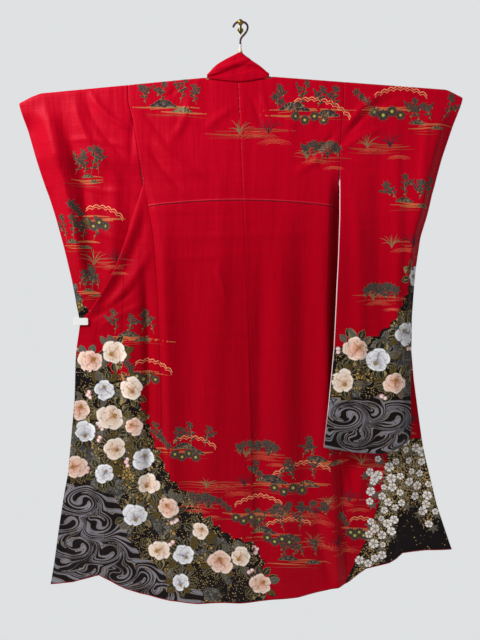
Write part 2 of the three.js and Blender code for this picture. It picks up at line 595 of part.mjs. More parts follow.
/** The question-mark hook, from its stem's foot round over the peg to its tip. */
function hook() {
  const route = [
    [0, STEM_FOOT], [0, -44], [0.6, -37], [5, -29], [13.5, -20], [20.5, -9], [21.6, 1], [17, 9],
    [9, wireTopZ - 0.9], [0, wireTopZ], [-9, wireTopZ - 1.2], [-17, 7], [-22, -1.5],
  ].map(([x, z]) => new THREE.Vector3(x, ROD_Y, z));
  const section = new THREE.Shape();
  section.absarc(0, 0, WIRE_RADIUS, 0, Math.PI * 2);
  return new THREE.ExtrudeGeometry(section, {
    steps: 32, curveSegments: 5, extrudePath: new THREE.CatmullRomCurve3(route, false, 'centripetal'),
  });
}
add('hanger_hook', hook(), hookPaint);

const plateOutline = new THREE.Shape();
plateOutline.moveTo(0, -10);
plateOutline.lineTo(9.5, 2);
plateOutline.absarc(0, 2, 9.5, 0, Math.PI);
plateOutline.lineTo(0, -10);
const plateSolid = new THREE.ExtrudeGeometry(plateOutline, {
  depth: PLATE_THICKNESS, bevelEnabled: false, curveSegments: 20,
}).rotateX(Math.PI / 2);
add('wall_plate', plateSolid, brass, model);
const shank = Math.sqrt(BALL_RADIUS ** 2 - PEG_RADIUS ** 2);
const ballMiddle = ROD_Y - WIRE_RADIUS - SEAM - BALL_RADIUS;
const ballArc = range(12).map((step) => {
  const from = Math.atan2(PEG_RADIUS, shank);
  const angle = mix(from, Math.PI, step);
  return new THREE.Vector2(BALL_RADIUS * Math.sin(angle), ballMiddle + BALL_RADIUS * Math.cos(angle));
});
ballArc[ballArc.length - 1].x = 0;
const pegRoot = -PLATE_THICKNESS - SEAM;
const pegProfile = [new THREE.Vector2(0, pegRoot), new THREE.Vector2(PEG_RADIUS, pegRoot), ...ballArc];
add('wall_peg', new THREE.LatheGeometry(pegProfile.reverse(), 24), brass, model);

// ---- clip that holds the left front to its sleeve ----
const clipFront = -55.3;
const clipBack = -43.6;
function clipJaw(name, viewerY) {
  const { from, to, height, corner } = CLIP;
  const half = height / 2;
  const outline = new THREE.Shape();
  outline.moveTo(from + corner, -half);
  outline.lineTo(to - corner, -half);
  outline.absarc(to - corner, -half + corner, corner, -Math.PI / 2, 0);
  outline.absarc(to - corner, half - corner, corner, 0, Math.PI / 2);
  outline.lineTo(from + corner, half);
  outline.absarc(from + corner, half - corner, corner, Math.PI / 2, Math.PI);
  outline.absarc(from + corner, -half + corner, corner, Math.PI, Math.PI * 1.5);
  const pressed = { depth: CLIP.jaw, bevelEnabled: false, curveSegments: 4 };
  const solid = new THREE.ExtrudeGeometry(outline, pressed);
  const mesh = add(name, solid.rotateX(Math.PI / 2), whitePlastic);
  mesh.position.set(0, viewerY, CLIP_Z);
}
clipJaw('clip_front_jaw', clipFront);
clipJaw('clip_back_jaw', clipBack + CLIP.jaw);
const mouth = clipBack - clipFront;
const spring = new THREE.CylinderGeometry(mouth / 2 - SEAM, mouth / 2 - SEAM, CLIP.height - 6, 16);
const springMesh = add('clip_spring', spring.rotateX(Math.PI / 2), whitePlastic);
springMesh.position.set(CLIP.from + 6.5, (clipFront + clipBack) / 2, CLIP_Z);

export default model;
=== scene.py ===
"""A furisode hung nearly flat on a kimono hanger, its back to the viewer."""
import math
import random
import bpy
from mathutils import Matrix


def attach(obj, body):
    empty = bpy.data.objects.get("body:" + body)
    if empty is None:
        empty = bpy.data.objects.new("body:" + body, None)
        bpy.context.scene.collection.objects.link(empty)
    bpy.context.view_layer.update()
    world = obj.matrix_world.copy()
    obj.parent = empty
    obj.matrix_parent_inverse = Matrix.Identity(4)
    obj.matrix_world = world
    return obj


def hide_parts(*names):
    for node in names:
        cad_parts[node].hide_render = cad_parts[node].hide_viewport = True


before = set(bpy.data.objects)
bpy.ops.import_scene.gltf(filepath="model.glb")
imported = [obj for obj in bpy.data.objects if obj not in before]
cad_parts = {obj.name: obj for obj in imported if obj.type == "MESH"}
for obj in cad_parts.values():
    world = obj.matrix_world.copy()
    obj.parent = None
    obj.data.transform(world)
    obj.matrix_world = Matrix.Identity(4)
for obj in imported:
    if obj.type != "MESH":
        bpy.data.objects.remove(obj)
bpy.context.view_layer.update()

from types import SimpleNamespace

import bpy
import numpy as np
from mathutils import Vector
from mathutils.bvhtree import BVHTree

# ---- camera ----
CAMERA_PLACE = (-0.00119, -1.60887, -0.73564)
CAMERA_TILT = 84.5      # degrees up from straight down
camera_data = bpy.data.cameras.new("camera")
camera_data.lens = 28
camera_data.sensor_width = 36
camera = bpy.data.objects.new("camera", camera_data)
camera.location = CAMERA_PLACE
camera.rotation_euler = (math.radians(CAMERA_TILT), 0, 0)
bpy.context.collection.objects.link(camera)
bpy.context.scene.camera = camera

# ---- sizes of the garment, in millimetres ----
MM = 0.001
TABLE_ZERO = -6.5       # the tables' heights count from here, just under the plate's middle
GAP = 0.04              # between two sewn pieces
SILK = 1.7              # thickness of the lined silk
ROD_Y = -46
ROD_MIDDLE_Z = -148.4
OVER_ROD = 10.6         # radius of the cloth's middle over the rod
PAST_ROD = 3            # how far past the rod's end the sleeve still lies level with it
SHOULDER_Z = -160       # nominal height at which the cloth leaves the rod
SETTLED_Z = -240        # below this height a row of cells lies at its nominal height
CREASED_FROM = -178     # the creases start below this height
NAPE_LAP = 4            # how far the back reaches up under the collar
NECK_STEP = 9           # width over which the back climbs from the neck to the shoulder
HEM_Z = -1750           # nominal hem height, before the hem's own line
HEM_FROM = -900         # the hem's line is felt below this height
EDGE_TURNED = -520      # the front turns fully round its long fold below this height
EDGE_STRAIGHT = -430    # and doesn't turn above this one
CLIP_Z = -883
CLIP_CALM = (-1010, -800)       # between these heights the clip calms the front's face
CALM_OUT = (400, 470)           # all of it out to the first, none of it past the second
FOLD_END = -866         # lower end of the long fold of the front
KENSAKI = -405          # point where the overlap panel starts
COLLAR_END = -1045
OKUMI_PASSES, COLLAR_PASSES = (-905.0, -745.0), (-925.0, -790.0)  # each seam runs straight past the clip
ARMHOLE_GAP = 0.3
CUFF_OPEN, CUFF_SEWN = -460, -500       # the cuff is open above the first height, sewn below the second
SEWN_HALF = 1.25        # half the distance between a sleeve's layers where they are sewn
CLIPPED_SLEEVE_Y = -46.6
CELL = 6.4              # size of the cells that the silk is made of
TABLE_TOP = -150.0      # the height that most tables start at
SHOULDER_OPEN = 0.003   # angle, in radians, left open on either side of where back and front meet
ROD_ROWS = 9            # rows of points over the rod
COLLAR_ROD_ROWS = 14    # and for the collar, which turns further round it
FRONT_OFF_ROD = 2       # how far below the rod's middle the front leaves it
COLLAR_STEP = 1.2       # height of the step from the collar's end to the free edge below it
SOFT_FOLD = 2.5         # depth of the soft folds that the cloth hangs in
BACK_FOLDS = (-450, -1500)      # the back's soft folds deepen between these heights
FRONT_FOLDS = (-950, -1500)     # and the fronts' between these
TUCK_PROUD, TUCK_DEEP = 1.6, 120        # how far the waist tuck stands out, and how far down it reaches
EDGE_JOINED = (-400, -540)      # between these heights the back's side edge turns in to the front
SLEEVE_DROOP = 0.36     # fall of a sleeve's top for each millimetre past the rod's end
HANGS_FREE = (14, 80)   # how far below its top a sleeve's ridge and fall begin, and are full
RIDGE_WIDE = 0.13       # width of that ridge, as a share of the sleeve's width
BODY_HALF, CUFF_HALF = 6.5, 7   # half the distance between a sleeve's layers, at the body and the open cuff
AS_ON_ROD = (-440, -370)        # at the body it grows upwards to that over the rod between these heights
CUFF_FROM = 0.86        # share of a sleeve's width past which it nears the distance at its cuff
CLIP_REACH = (80, 40)   # up and down from the clip: none of its pinch past the first, all within the second
CLIP_FROM = (440, 475)  # outwards: none of it before the first, all of it past the second
LINING_TOP, LINING_END = -400, -1170
LINING_SHOWS = 2.5      # how far the lining stands out past the sleeve's inner edge
LINING_GROWS = (-420, -520)     # it comes out between these heights
LINING_IN = 6           # how far inside the sleeve its strip ends


def table(columns, *rows):
    """A short table as columns of numbers, read by name."""
    return {name: np.array(column, float) for name, column in zip(columns.split(), zip(*rows))}


HEM_LINE = table("x z",  # x across, z of the hem
    (-622, -1747), (-546, -1739), (-464, -1718), (-377, -1762), (-328, -1781), (-247, -1802),
    (-137, -1811), (0, -1809), (81, -1802), (190, -1788), (310, -1759), (350, -1748), (413, -1701),
    (488, -1678), (531, -1645), (596, -1638), (691, -1631),
)
CENTRE_SEAM = table("z x",
    (-150, -7), (-500, 8), (-900, 26), (-1300, 40), (-1750, 48),
)
BACK_DEPTH = table("z y",  # how far in front of the wall the back panels hang
    (-150, -56.6), (-380, -57.6), (-520, -66), (-900, -68), (-1750, -72),
)
COLLAR_WIDTH = table("z width",
    (-150, 40), (-300, 55), (-1100, 55),
)
OKUMI_WIDTH = table("z width",  # above the clip, up to its point
    (-400, 0), (-430, 10), (-600, 36), (-880, 85),
)
NAPE = table("x seam band fold top",  # the collar at the nape: heights of its seam, band, fold and top
    (-100, -153, -149.6, -146.8, -143.6), (-73, -156, -148, -139, -113), (-45, -159, -146, -128, -97),
    (-16, -162, -143, -117, -83), (0, -162, -139, -114, -74.5), (17, -161, -135, -112, -88),
    (38, -158, -128, -113, -105), (61, -154, -129, -124, -119), (86, -149, -146.4, -144.4, -142),
)
LEFT = SimpleNamespace(
    name="left",
    sign=-1,
    rod_slope=0.092,
    rod_end=598,
    turn_width=22,
    clipped=True,
    side_edge=table("z out",  # armhole and side seam, outwards from the middle
        (-220, 337), (-280, 323), (-380, 308), (-444, 297), (-528, 284), (-606, 270), (-710, 263),
        (-824, 258), (-1134, 250), (-1750, 250),
    ),
    outer_edge=table("z out",  # the fold's line above the clip, the front's free edge below it
        (-380, 300), (-456, 298), (-512, 314), (-573, 337), (-616, 350), (-663, 367), (-713, 387),
        (-760, 413), (-804, 440), (-842, 466), (-866, 488), (-883, 502), (-900, 506), (-973, 517),
        (-1134, 526), (-1374, 553), (-1451, 569), (-1563, 589), (-1666, 606), (-1750, 622),
    ),
    collar_edge=table("z out",  # the collar's edge on the wall side, from the neck to the clip
        (-150, 62), (-300, 105), (-456, 165), (-600, 235), (-740, 330), (-820, 410), (-866, 480),
    ),
    okumi_seam=table("z out",
        (-866, 366), (-1200, 400), (-1485, 428), (-1600, 440), (-1750, 464),
    ),
    front_depth=table("z y half",  # y of the fold's wall side, and half the fold's thickness
        (-150, -35.4, 4), (-380, -34, 4), (-450, -43, 4), (-520, -52, 4), (-760, -52, 4),
        (-840, -51, 3.5), (-855, -50.5, 0.5), (-925, -50.5, 0.5), (-1010, -57, 2), (-1750, -62, 2),
    ),
    sleeve_in=table("z out",
        (-220, 337), (-280, 323), (-380, 308), (-450, 301), (-900, 296), (-1300, 266),
    ),
    sleeve_out=table("z out",
        (-220, 669), (-420, 619), (-551, 580), (-658, 553), (-752, 532), (-847, 512), (-883, 506),
        (-1000, 503), (-1250, 506), (-1266, 500), (-1290, 480),
    ),
    sleeve_depth=table("z y ridge fall",  # y of the middle, depth of the ridge, fall of the outer strip
        (-150, -46, 0, 2), (-260, -46, 9, 14), (-380, -46, 15, 16), (-430, -38, 15, 13),
        (-460, -35, 15, 10), (-600, -35, 15, 10), (-750, -35, 9, 4), (-850, -36, 3, -8),
        (-883, -36, 2, -10), (-950, -36, 2, -6), (-1290, -34, 3, 0),
    ),
    ridge_at=table("z share",
        (-190, 0.78), (-290, 0.73), (-600, 0.8), (-850, 0.86),
    ),
    sleeve_bottom=table("share z",
        (0, -1272), (0.4, -1288), (0.8, -1292), (1, -1266),
    ),
)
RIGHT = SimpleNamespace(
    name="right",
    sign=1,
    rod_slope=0.072,
    rod_end=616,
    turn_width=34,
    clipped=False,
    side_edge=table("z out",
        (-220, 311), (-280, 306), (-380, 302), (-456, 301), (-600, 300), (-900, 300), (-1200, 312),
        (-1500, 335), (-1750, 350),
    ),
    outer_edge=table("z out",
        (-380, 304), (-456, 304), (-512, 318), (-573, 341), (-616, 356), (-663, 374), (-713, 396),
        (-760, 424), (-804, 454), (-842, 484), (-866, 508), (-900, 526), (-967, 541), (-1080, 553),
        (-1330, 589), (-1560, 638), (-1750, 691),
    ),
    collar_edge=table("z out",
        (-150, 52), (-300, 95), (-456, 160), (-600, 238), (-740, 342), (-820, 430), (-866, 500),
    ),
    okumi_seam=table("z out",
        (-866, 388), (-1200, 432), (-1485, 486), (-1600, 508), (-1750, 531),
    ),
    front_depth=table("z y half",
        (-150, -35.4, 5), (-380, -33, 5), (-450, -32, 5), (-520, -34, 5), (-840, -36, 5),
        (-900, -38, 4), (-1300, -44, 3), (-1750, -54, 2),
    ),
    sleeve_in=table("z out",
        (-220, 311), (-280, 306), (-380, 302), (-456, 302), (-682, 298), (-966, 289), (-1146, 275),
        (-1277, 262),
    ),
    sleeve_out=table("z out",
        (-208, 671), (-453, 599), (-535, 579), (-622, 554), (-729, 541), (-870, 534), (-1126, 536),
        (-1240, 540), (-1266, 530), (-1290, 508),
    ),
    sleeve_depth=table("z y ridge fall",
        (-150, -46, 0, 2), (-260, -46, 5, 12), (-380, -47, 9, 20), (-460, -63, 9, 24),
        (-560, -82, 8, 26), (-800, -85, 6, 24), (-1290, -88, 3, 10),
    ),
    ridge_at=table("z share",
        (-190, 0.84), (-450, 0.86), (-850, 0.84),
    ),
    sleeve_bottom=table("share z",
        (0, -1272), (0.4, -1288), (0.75, -1292), (1, -1266),
    ),
)


# ---- small helpers ----
def mix(a, b, share):
    """A at share 0, b at share 1."""
    return a + (b - a) * share


def ease(start, end, value):
    """0 before start, 1 after end, eased between them."""
    share = np.clip((value - start) / (end - start), 0, 1)
    return share * share * (3 - 2 * share)


def read(rows, key, wanted, at):
    """One column of a table where another column has the value at."""
    order = np.argsort(rows[key])
    return np.interp(at, rows[key][order], rows[wanted][order])


def read_soft(rows, key, wanted, at, reach=30):
    """The same, blended over a reach to both sides so that the line has no corners."""
    return sum(read(rows, key, wanted, at + step * reach) for step in (-1, -0.5, 0, 0.5, 1)) / 5


def linear(hexed):
    """sRGB hex to linear colour."""
    parts = [int(hexed[i:i + 2], 16) / 255 for i in (1, 3, 5)]
    return tuple(p / 12.92 if p <= 0.04045 else ((p + 0.055) / 1.055) ** 2.4 for p in parts) + (1,)


def rod_z(side, out):
    """Height of the rod's middle, which slopes down from the hanger's hub."""
    return ROD_MIDDLE_Z - side.rod_slope * np.maximum(out, 0)


def hem_shift(x, z):
    """How far the hem's own line moves a point of nominal height z."""
    felt = np.clip((HEM_FROM - z) / (HEM_FROM - HEM_Z), 0, 1)
    return (read(HEM_LINE, "x", "z", x) - HEM_Z) * felt ** 1.5


def rows_down(start, end, extra=()):
    """Heights a cell apart from start down to end, with some heights that are kept exact."""
    even = np.linspace(start, end, int(round((start - end) / CELL)) + 1)
    kept = [z for z in even if all(abs(z - exact) > 2 for exact in extra)]
    return np.array(sorted([*kept, *(z for z in extra if end <= z <= start)], reverse=True))


def seam_columns(count):
    """Shares across a panel, closer together along its two sewn edges."""
    close = [0, 0.004, 0.012]
    return np.array([*close, *np.linspace(0.03, 0.97, count - 6), *(1 - c for c in reversed(close))])


# ---- the garment's surfaces, as grids of middle points (rows, columns, xyz) ----
def point_grid(side, out, y, z):
    """Points of one side of the garment; out counts outwards from the middle."""
    out, y, z = np.broadcast_arrays(out, y, z)
    return np.stack([side.sign * out, y, z], axis=-1)


def over_rod(side, out, angle, drop=0):
    """Cloth carried on over the rod: angle 0 faces the viewer, a half turn faces the wall."""
    z = rod_z(side, out) - drop + OVER_ROD * np.sin(angle)
    return point_grid(side, out, ROD_Y - OVER_ROD * np.cos(angle), z)


def neck_out(side):
    """Where the shoulder meets the neck, outwards from the middle."""
    return side.collar_edge["out"][0] + COLLAR_WIDTH["width"][0]


def front_face(side, out, z):
    """Depth of a front's viewer's side: the clip pinches it, and only near the clip."""
    def pinched(at):
        """The fold's wall side less the fold's whole thickness."""
        return read_soft(side.front_depth, "z", "y", at) - 2 * read(side.front_depth, "z", "half", at)

    if not side.clipped:
        return pinched(z)
    low, high = CLIP_CALM
    calm = np.interp(z, CLIP_CALM, [pinched(low), pinched(high)])
    passing = (z > low) & (z < high)
    return np.where(passing, mix(calm, pinched(z), ease(*CALM_OUT, out)), pinched(z))


def tuck_height(x):
    """Height of the waist tuck's folded edge: it hangs lower towards the side seams."""
    return -510 - 20 * (x / 300) ** 2


def back_depth(side, out, z):
    """Depth of a back panel: its hang, its soft folds, its waist tuck and its turned side edge."""
    x = side.sign * out
    folds = SOFT_FOLD * ease(*BACK_FOLDS, z) * np.sin(x / 26 + z / 900)
    tuck_z = tuck_height(x)
    tuck = -TUCK_PROUD * ease(tuck_z + 1.5, tuck_z - 1.5, z) * ease(tuck_z - TUCK_DEEP, tuck_z - 6, z)
    hang = read_soft(BACK_DEPTH, "z", "y", z) + folds + tuck
    from_edge = read(side.side_edge, "z", "out", z) - out
    joined = ease(*EDGE_JOINED, z) * ease(side.turn_width, 2, from_edge)
    return mix(hang, front_face(side, out, z), joined)


def off_rod(top_z, row):
    """Heights of a row of cells between the rod's cloth and the first row at its nominal height."""
    return top_z + (row - SHOULDER_Z) * (SETTLED_Z - top_z) / (SETTLED_Z - SHOULDER_Z)


def back_grid(side):
    """A back panel: over the rod at the shoulder, up under the collar at the neck, down to the hem."""
    def out_at(share, z):
        """Distance from the middle at a share of the panel's width."""
        centre = side.sign * read_soft(CENTRE_SEAM, "z", "x", z) + GAP / 2
        return mix(centre, read(side.side_edge, "z", "out", z) - GAP / 2, share)

    even = seam_columns(52)
    low, high = out_at(0, SHOULDER_Z), out_at(1, SHOULDER_Z)
    step = (neck_out(side) - low) / (high - low)
    step_end = step + NECK_STEP / (high - low)
    shoulder_share = np.interp(even, [0, 0.012, 0.33, 0.46, 1], [0, 0.012, step, step_end, 1])
    top_out = out_at(shoulder_share, SHOULDER_Z)
    climb = np.clip((top_out - neck_out(side)) / NECK_STEP, 0, 1)
    under_collar = read(NAPE, "x", "seam", side.sign * top_out) + NAPE_LAP
    drop = np.where(climb < 0.02, np.maximum(0, rod_z(side, top_out) - under_collar), 0)
    top_z = rod_z(side, top_out) - drop
    full = mix(0.2, math.pi / 2 - SHOULDER_OPEN, climb)
    shoulder = [over_rod(side, top_out, up * full, drop) for up in np.linspace(1, 0.1, ROD_ROWS)]
    hanging = []
    for row in rows_down(SHOULDER_Z, HEM_Z):
        share = mix(shoulder_share, even, ease(SHOULDER_Z, -300, row))
        z = np.where(row > SETTLED_Z, off_rod(top_z, row), row)
        out = out_at(share, z)
        hanging.append(point_grid(side, out, back_depth(side, out, z), z + hem_shift(side.sign * out, z)))
    return np.array([*shoulder, *hanging])


def fold_sizes(side, z):
    """Lengths along the front's cloth at a height: to its fold, round the fold and to its far edge."""
    folded = z > FOLD_END
    start = read(side.side_edge, "z", "out", z) + GAP / 2
    outer = np.maximum(read(side.outer_edge, "z", "out", z), start)
    collar_edge = mix(read(side.collar_edge, "z", "out", z), outer, ease(-835, FOLD_END, z))
    inner = np.where(folded, collar_edge, outer)
    half = read(side.front_depth, "z", "half", z)
    turned = math.pi * ease(EDGE_TURNED, EDGE_STRAIGHT, z)
    width = np.where(folded, half * (1 - turned / math.pi), 0)
    centre = outer - width
    first = np.maximum(0, centre - start)
    bend = np.where(folded, (math.pi - turned) * (width + half) / 2, 0)
    total = first + bend + np.where(folded, centre - inner, 0)
    return SimpleNamespace(folded=folded, start=start, half=half, turned=turned, width=width, centre=centre,
                           first=first, bend=bend, total=total)


def seams(side, z):
    """Lengths along the front's cloth to its overlap panel's seam and to its collar's."""
    sizes = fold_sizes(side, z)
    collar = sizes.total - read(COLLAR_WIDTH, "z", "width", z)
    sewn = read(side.okumi_seam, "z", "out", z) - sizes.start
    cloth_to = np.where(z >= COLLAR_END, collar, sizes.total)
    return mix(cloth_to - read(OKUMI_WIDTH, "z", "width", z), sewn, ease(-836, -896, z)), collar


def front_line(side, z):
    """The front's cloth at a height: from the side seam out, round the long fold, back to the collar."""
    sizes = fold_sizes(side, z)
    runs = []
    for seam, run, (low, high) in zip((0, 1), seams(side, z), (OKUMI_PASSES, COLLAR_PASSES)):
        straight = np.interp(z, (low, high), seams(side, np.array((low, high)))[seam])
        runs.append(np.where((z > low) & (z < high), straight, run))
    okumi_from, collar_from = runs
    wall_y = read_soft(side.front_depth, "z", "y", z)

    def at(along):
        """Out and y of a point of the line, by its length along the cloth."""
        wave = SOFT_FOLD * ease(*FRONT_FOLDS, z) * np.sin(along / 30) * ease(0, 60, along)
        past = along - sizes.first - sizes.bend
        round_fold = np.clip((along - sizes.first) / np.maximum(sizes.bend, 1e-6), 0, 1)
        angle = sizes.turned + (math.pi - sizes.turned) * round_fold
        on_wall = sizes.folded & (past >= 0)
        facing = ~sizes.folded | (along < sizes.first)
        out = np.where(on_wall, sizes.centre - past, sizes.centre + sizes.width * np.sin(angle))
        out = np.where(facing, sizes.start + along, out)
        y = np.where(on_wall, wall_y, wall_y - sizes.half - sizes.half * np.cos(angle))
        return out, np.where(facing, front_face(side, out, z) + wave, y)

    cloth_to = np.where(z >= COLLAR_END, collar_from - GAP / 2, sizes.total)
    return SimpleNamespace(at=at, total=sizes.total, collar_from=collar_from, cloth_to=cloth_to,
                           okumi_from=okumi_from, bend_at=sizes.first + sizes.bend / 2, bend=sizes.bend)


def near_bend(start, end, shares, bend_at, bend):
    """Lengths from start to end, closer together round the bend of the fold."""
    fine = np.linspace(start, end, 240)
    reach = max(end - start, 1)
    weight = 0.9 * min(1, bend / 12)
    density = 1 / reach + weight * np.exp(-((fine - bend_at) / 14) ** 2) / 40
    passed = np.concatenate([[0], np.cumsum((density[1:] + density[:-1]) / 2)])
    return np.interp(shares, passed / passed[-1], fine)


def front_grid(side, span, count, top=SHOULDER_Z, end=HEM_Z, first_angle=None):
    """A piece of the front's cloth; span gives where it starts and ends along the line."""
    shares = seam_columns(count)
    line = front_line(side, np.array(TABLE_TOP))
    lengths = near_bend(*span(line), shares, line.bend_at, line.bend)
    top_out = line.at(lengths)[0]
    grid = []
    if first_angle is not None:
        rows = COLLAR_ROD_ROWS if first_angle < 1 else ROD_ROWS
        grid = [over_rod(side, top_out, angle) for angle in np.linspace(first_angle, math.pi, rows)]
    for row in rows_down(top, end, (COLLAR_END, COLLAR_END - COLLAR_STEP)):
        line = front_line(side, np.array(row))
        lengths = near_bend(*span(line), shares, line.bend_at, line.bend)
        z = np.full(len(shares), row)
        if row > SETTLED_Z:
            z = off_rod(rod_z(side, line.at(lengths)[0]) - FRONT_OFF_ROD, row)
        out, y = front_line(side, z).at(lengths)
        grid.append(point_grid(side, out, y, z + hem_shift(side.sign * out, z)))
    return np.array(grid)


def panel_grid(side):
    """The front: from the side seam to the overlap panel's seam."""
    return front_grid(side, lambda line: (0, line.okumi_from - GAP), 56,
                      first_angle=math.pi / 2 + SHOULDER_OPEN)


def okumi_grid(side):
    """The overlap panel, between the front and the collar, and to the free edge below the collar."""
    return front_grid(side, lambda line: (line.okumi_from + GAP, line.cloth_to), 30, top=KENSAKI - 20)


def collar_grid(side):
    """The collar, from where it passes over the rod to its lower end."""
    return front_grid(side, lambda line: (line.collar_from + GAP, line.total), 18, end=COLLAR_END,
                      first_angle=math.pi * 0.3)


def smooth_between(points, times):
    """Points on a smooth curve through each column of the grid, times as many as there are rows."""
    padded = np.concatenate([2 * points[:1] - points[1:2], points, 2 * points[-1:] - points[-2:-1]])
    rows = []
    for i in range(1, len(padded) - 2):
        before, a, b, after = padded[i - 1:i + 3]
        for t in np.arange(times) / times:
            rows.append(0.5 * (2 * a + (b - before) * t + (2 * before - 5 * a + 4 * b - after) * t ** 2
                               + (3 * a - before - 3 * b + after) * t ** 3))
    return np.array([*rows, points[-1]])


def nape_grid():
    """The collar at the back of the neck: a band on the neckline, a recess, a fold and a raised peak."""
    x = np.linspace(NAPE["x"][0], NAPE["x"][-1], 64)
    seam, band, fold, top = (read_soft(NAPE, "x", key, x, reach=8) for key in ("seam", "band", "fold", "top"))
    lift = np.clip(np.maximum(0, top - fold - 6) / 20, 0, 1)
    levels = [  # height and y of each line along the collar, from its seam up
        (seam, -59.6), (mix(seam, band, 0.5), -61.4), (band, -61), (band + 1.2, -57.5),
        (mix(band, fold, 0.6) + 1, -57.5), (fold, -61), (fold + 2.4, -61.6),
        (mix(fold + 2.4, top, 0.5), mix(-60, -59, lift)), (top, mix(-57.6, -54.4, lift)),
    ]
    coarse = np.array([np.stack(np.broadcast_arrays(x, y, z), axis=-1) for z, y in levels])
    return smooth_between(coarse, 4)


def sleeve_top(side, out):
    """Height of the sleeve's top fold: along the rod, then drooping past the rod's end."""
    past = np.maximum(0, out - side.rod_end - PAST_ROD)
    return rod_z(side, np.minimum(out, side.rod_end)) - SLEEVE_DROOP * past


def sleeve_half(share, z):
    """Half the distance between a sleeve's two layers: open at the body and cuff, sewn below the cuff."""
    at_body = mix(BODY_HALF, OVER_ROD, ease(*AS_ON_ROD, z))
    at_cuff = mix(SEWN_HALF, CUFF_HALF, ease(CUFF_SEWN, CUFF_OPEN, z))
    return mix(at_body, at_cuff, ease(CUFF_FROM, 1, share))


def sleeve_point(side, share, z, top_z, angle):
    """Points of a sleeve: angle 0 is the viewer's layer, a half turn is the wall's."""
    low = read(side.sleeve_in, "z", "out", z)
    out = mix(low, read_soft(side.sleeve_out, "z", "out", z, reach=12), share)
    free = ease(*HANGS_FREE, top_z - z)
    ridge_share = read_soft(side.ridge_at, "z", "share", z)
    section = np.exp(-((share - ridge_share) / RIDGE_WIDE) ** 2)
    ridge = read_soft(side.sleeve_depth, "z", "ridge", z) * section
    fall = read_soft(side.sleeve_depth, "z", "fall", z) * ease(ridge_share, 1, share)
    hung = read_soft(side.sleeve_depth, "z", "y", z, reach=12) + free * (fall - ridge)
    pinched = ease(*CLIP_REACH, np.abs(z - CLIP_Z)) * ease(*CLIP_FROM, out) if side.clipped else 0
    middle = mix(hung, CLIPPED_SLEEVE_Y, pinched)
    radius = mix(sleeve_half(share, z), SEWN_HALF, pinched)
    return point_grid(side, out + ARMHOLE_GAP * (1 - share), middle - radius * np.cos(angle),
                      z + radius * np.sin(angle))


def sleeve_grid(side):
    """A sleeve's ring: viewer's layer down, round the bottom, wall's layer up, round the top."""
    share = seam_columns(52)
    top = sleeve_top(side, mix(read(side.sleeve_in, "z", "out", TABLE_TOP),
                               read(side.sleeve_out, "z", "out", TABLE_TOP), share))
    bottom = read(side.sleeve_bottom, "share", "z", share)
    downs = np.linspace(0, 1, 168)
    front = [sleeve_point(side, share, mix(top, bottom, down), top, 0) for down in downs]
    wall = [sleeve_point(side, share, mix(top, bottom, down), top, math.pi) for down in downs[::-1]]
    under = [sleeve_point(side, share, bottom, top, -math.pi * turn) for turn in (0.25, 0.5, 0.75)]
    over = [sleeve_point(side, share, top, top, math.pi * turn) for turn in np.linspace(0.9, 0.1, ROD_ROWS)]
    return np.array([*front, *under, *wall, *over])


def lining_grid(side):
    """The pale lining that shows along the open inner edge of a sleeve."""
    z = rows_down(LINING_TOP, LINING_END)
    edge = sleeve_point(side, 0, z, 0, 0)
    overhang = LINING_SHOWS * ease(*LINING_GROWS, z)
    grid = []
    for share in np.linspace(0, 1, 5):
        reach = mix(SILK - 1 - overhang, LINING_IN, share)
        shift = np.stack([side.sign * reach, np.full(len(z), 1.6 - 0.5 * (1 - share) ** 2), 0 * z], axis=-1)
        grid.append(edge + shift)
    return np.array(grid).transpose(1, 0, 2)


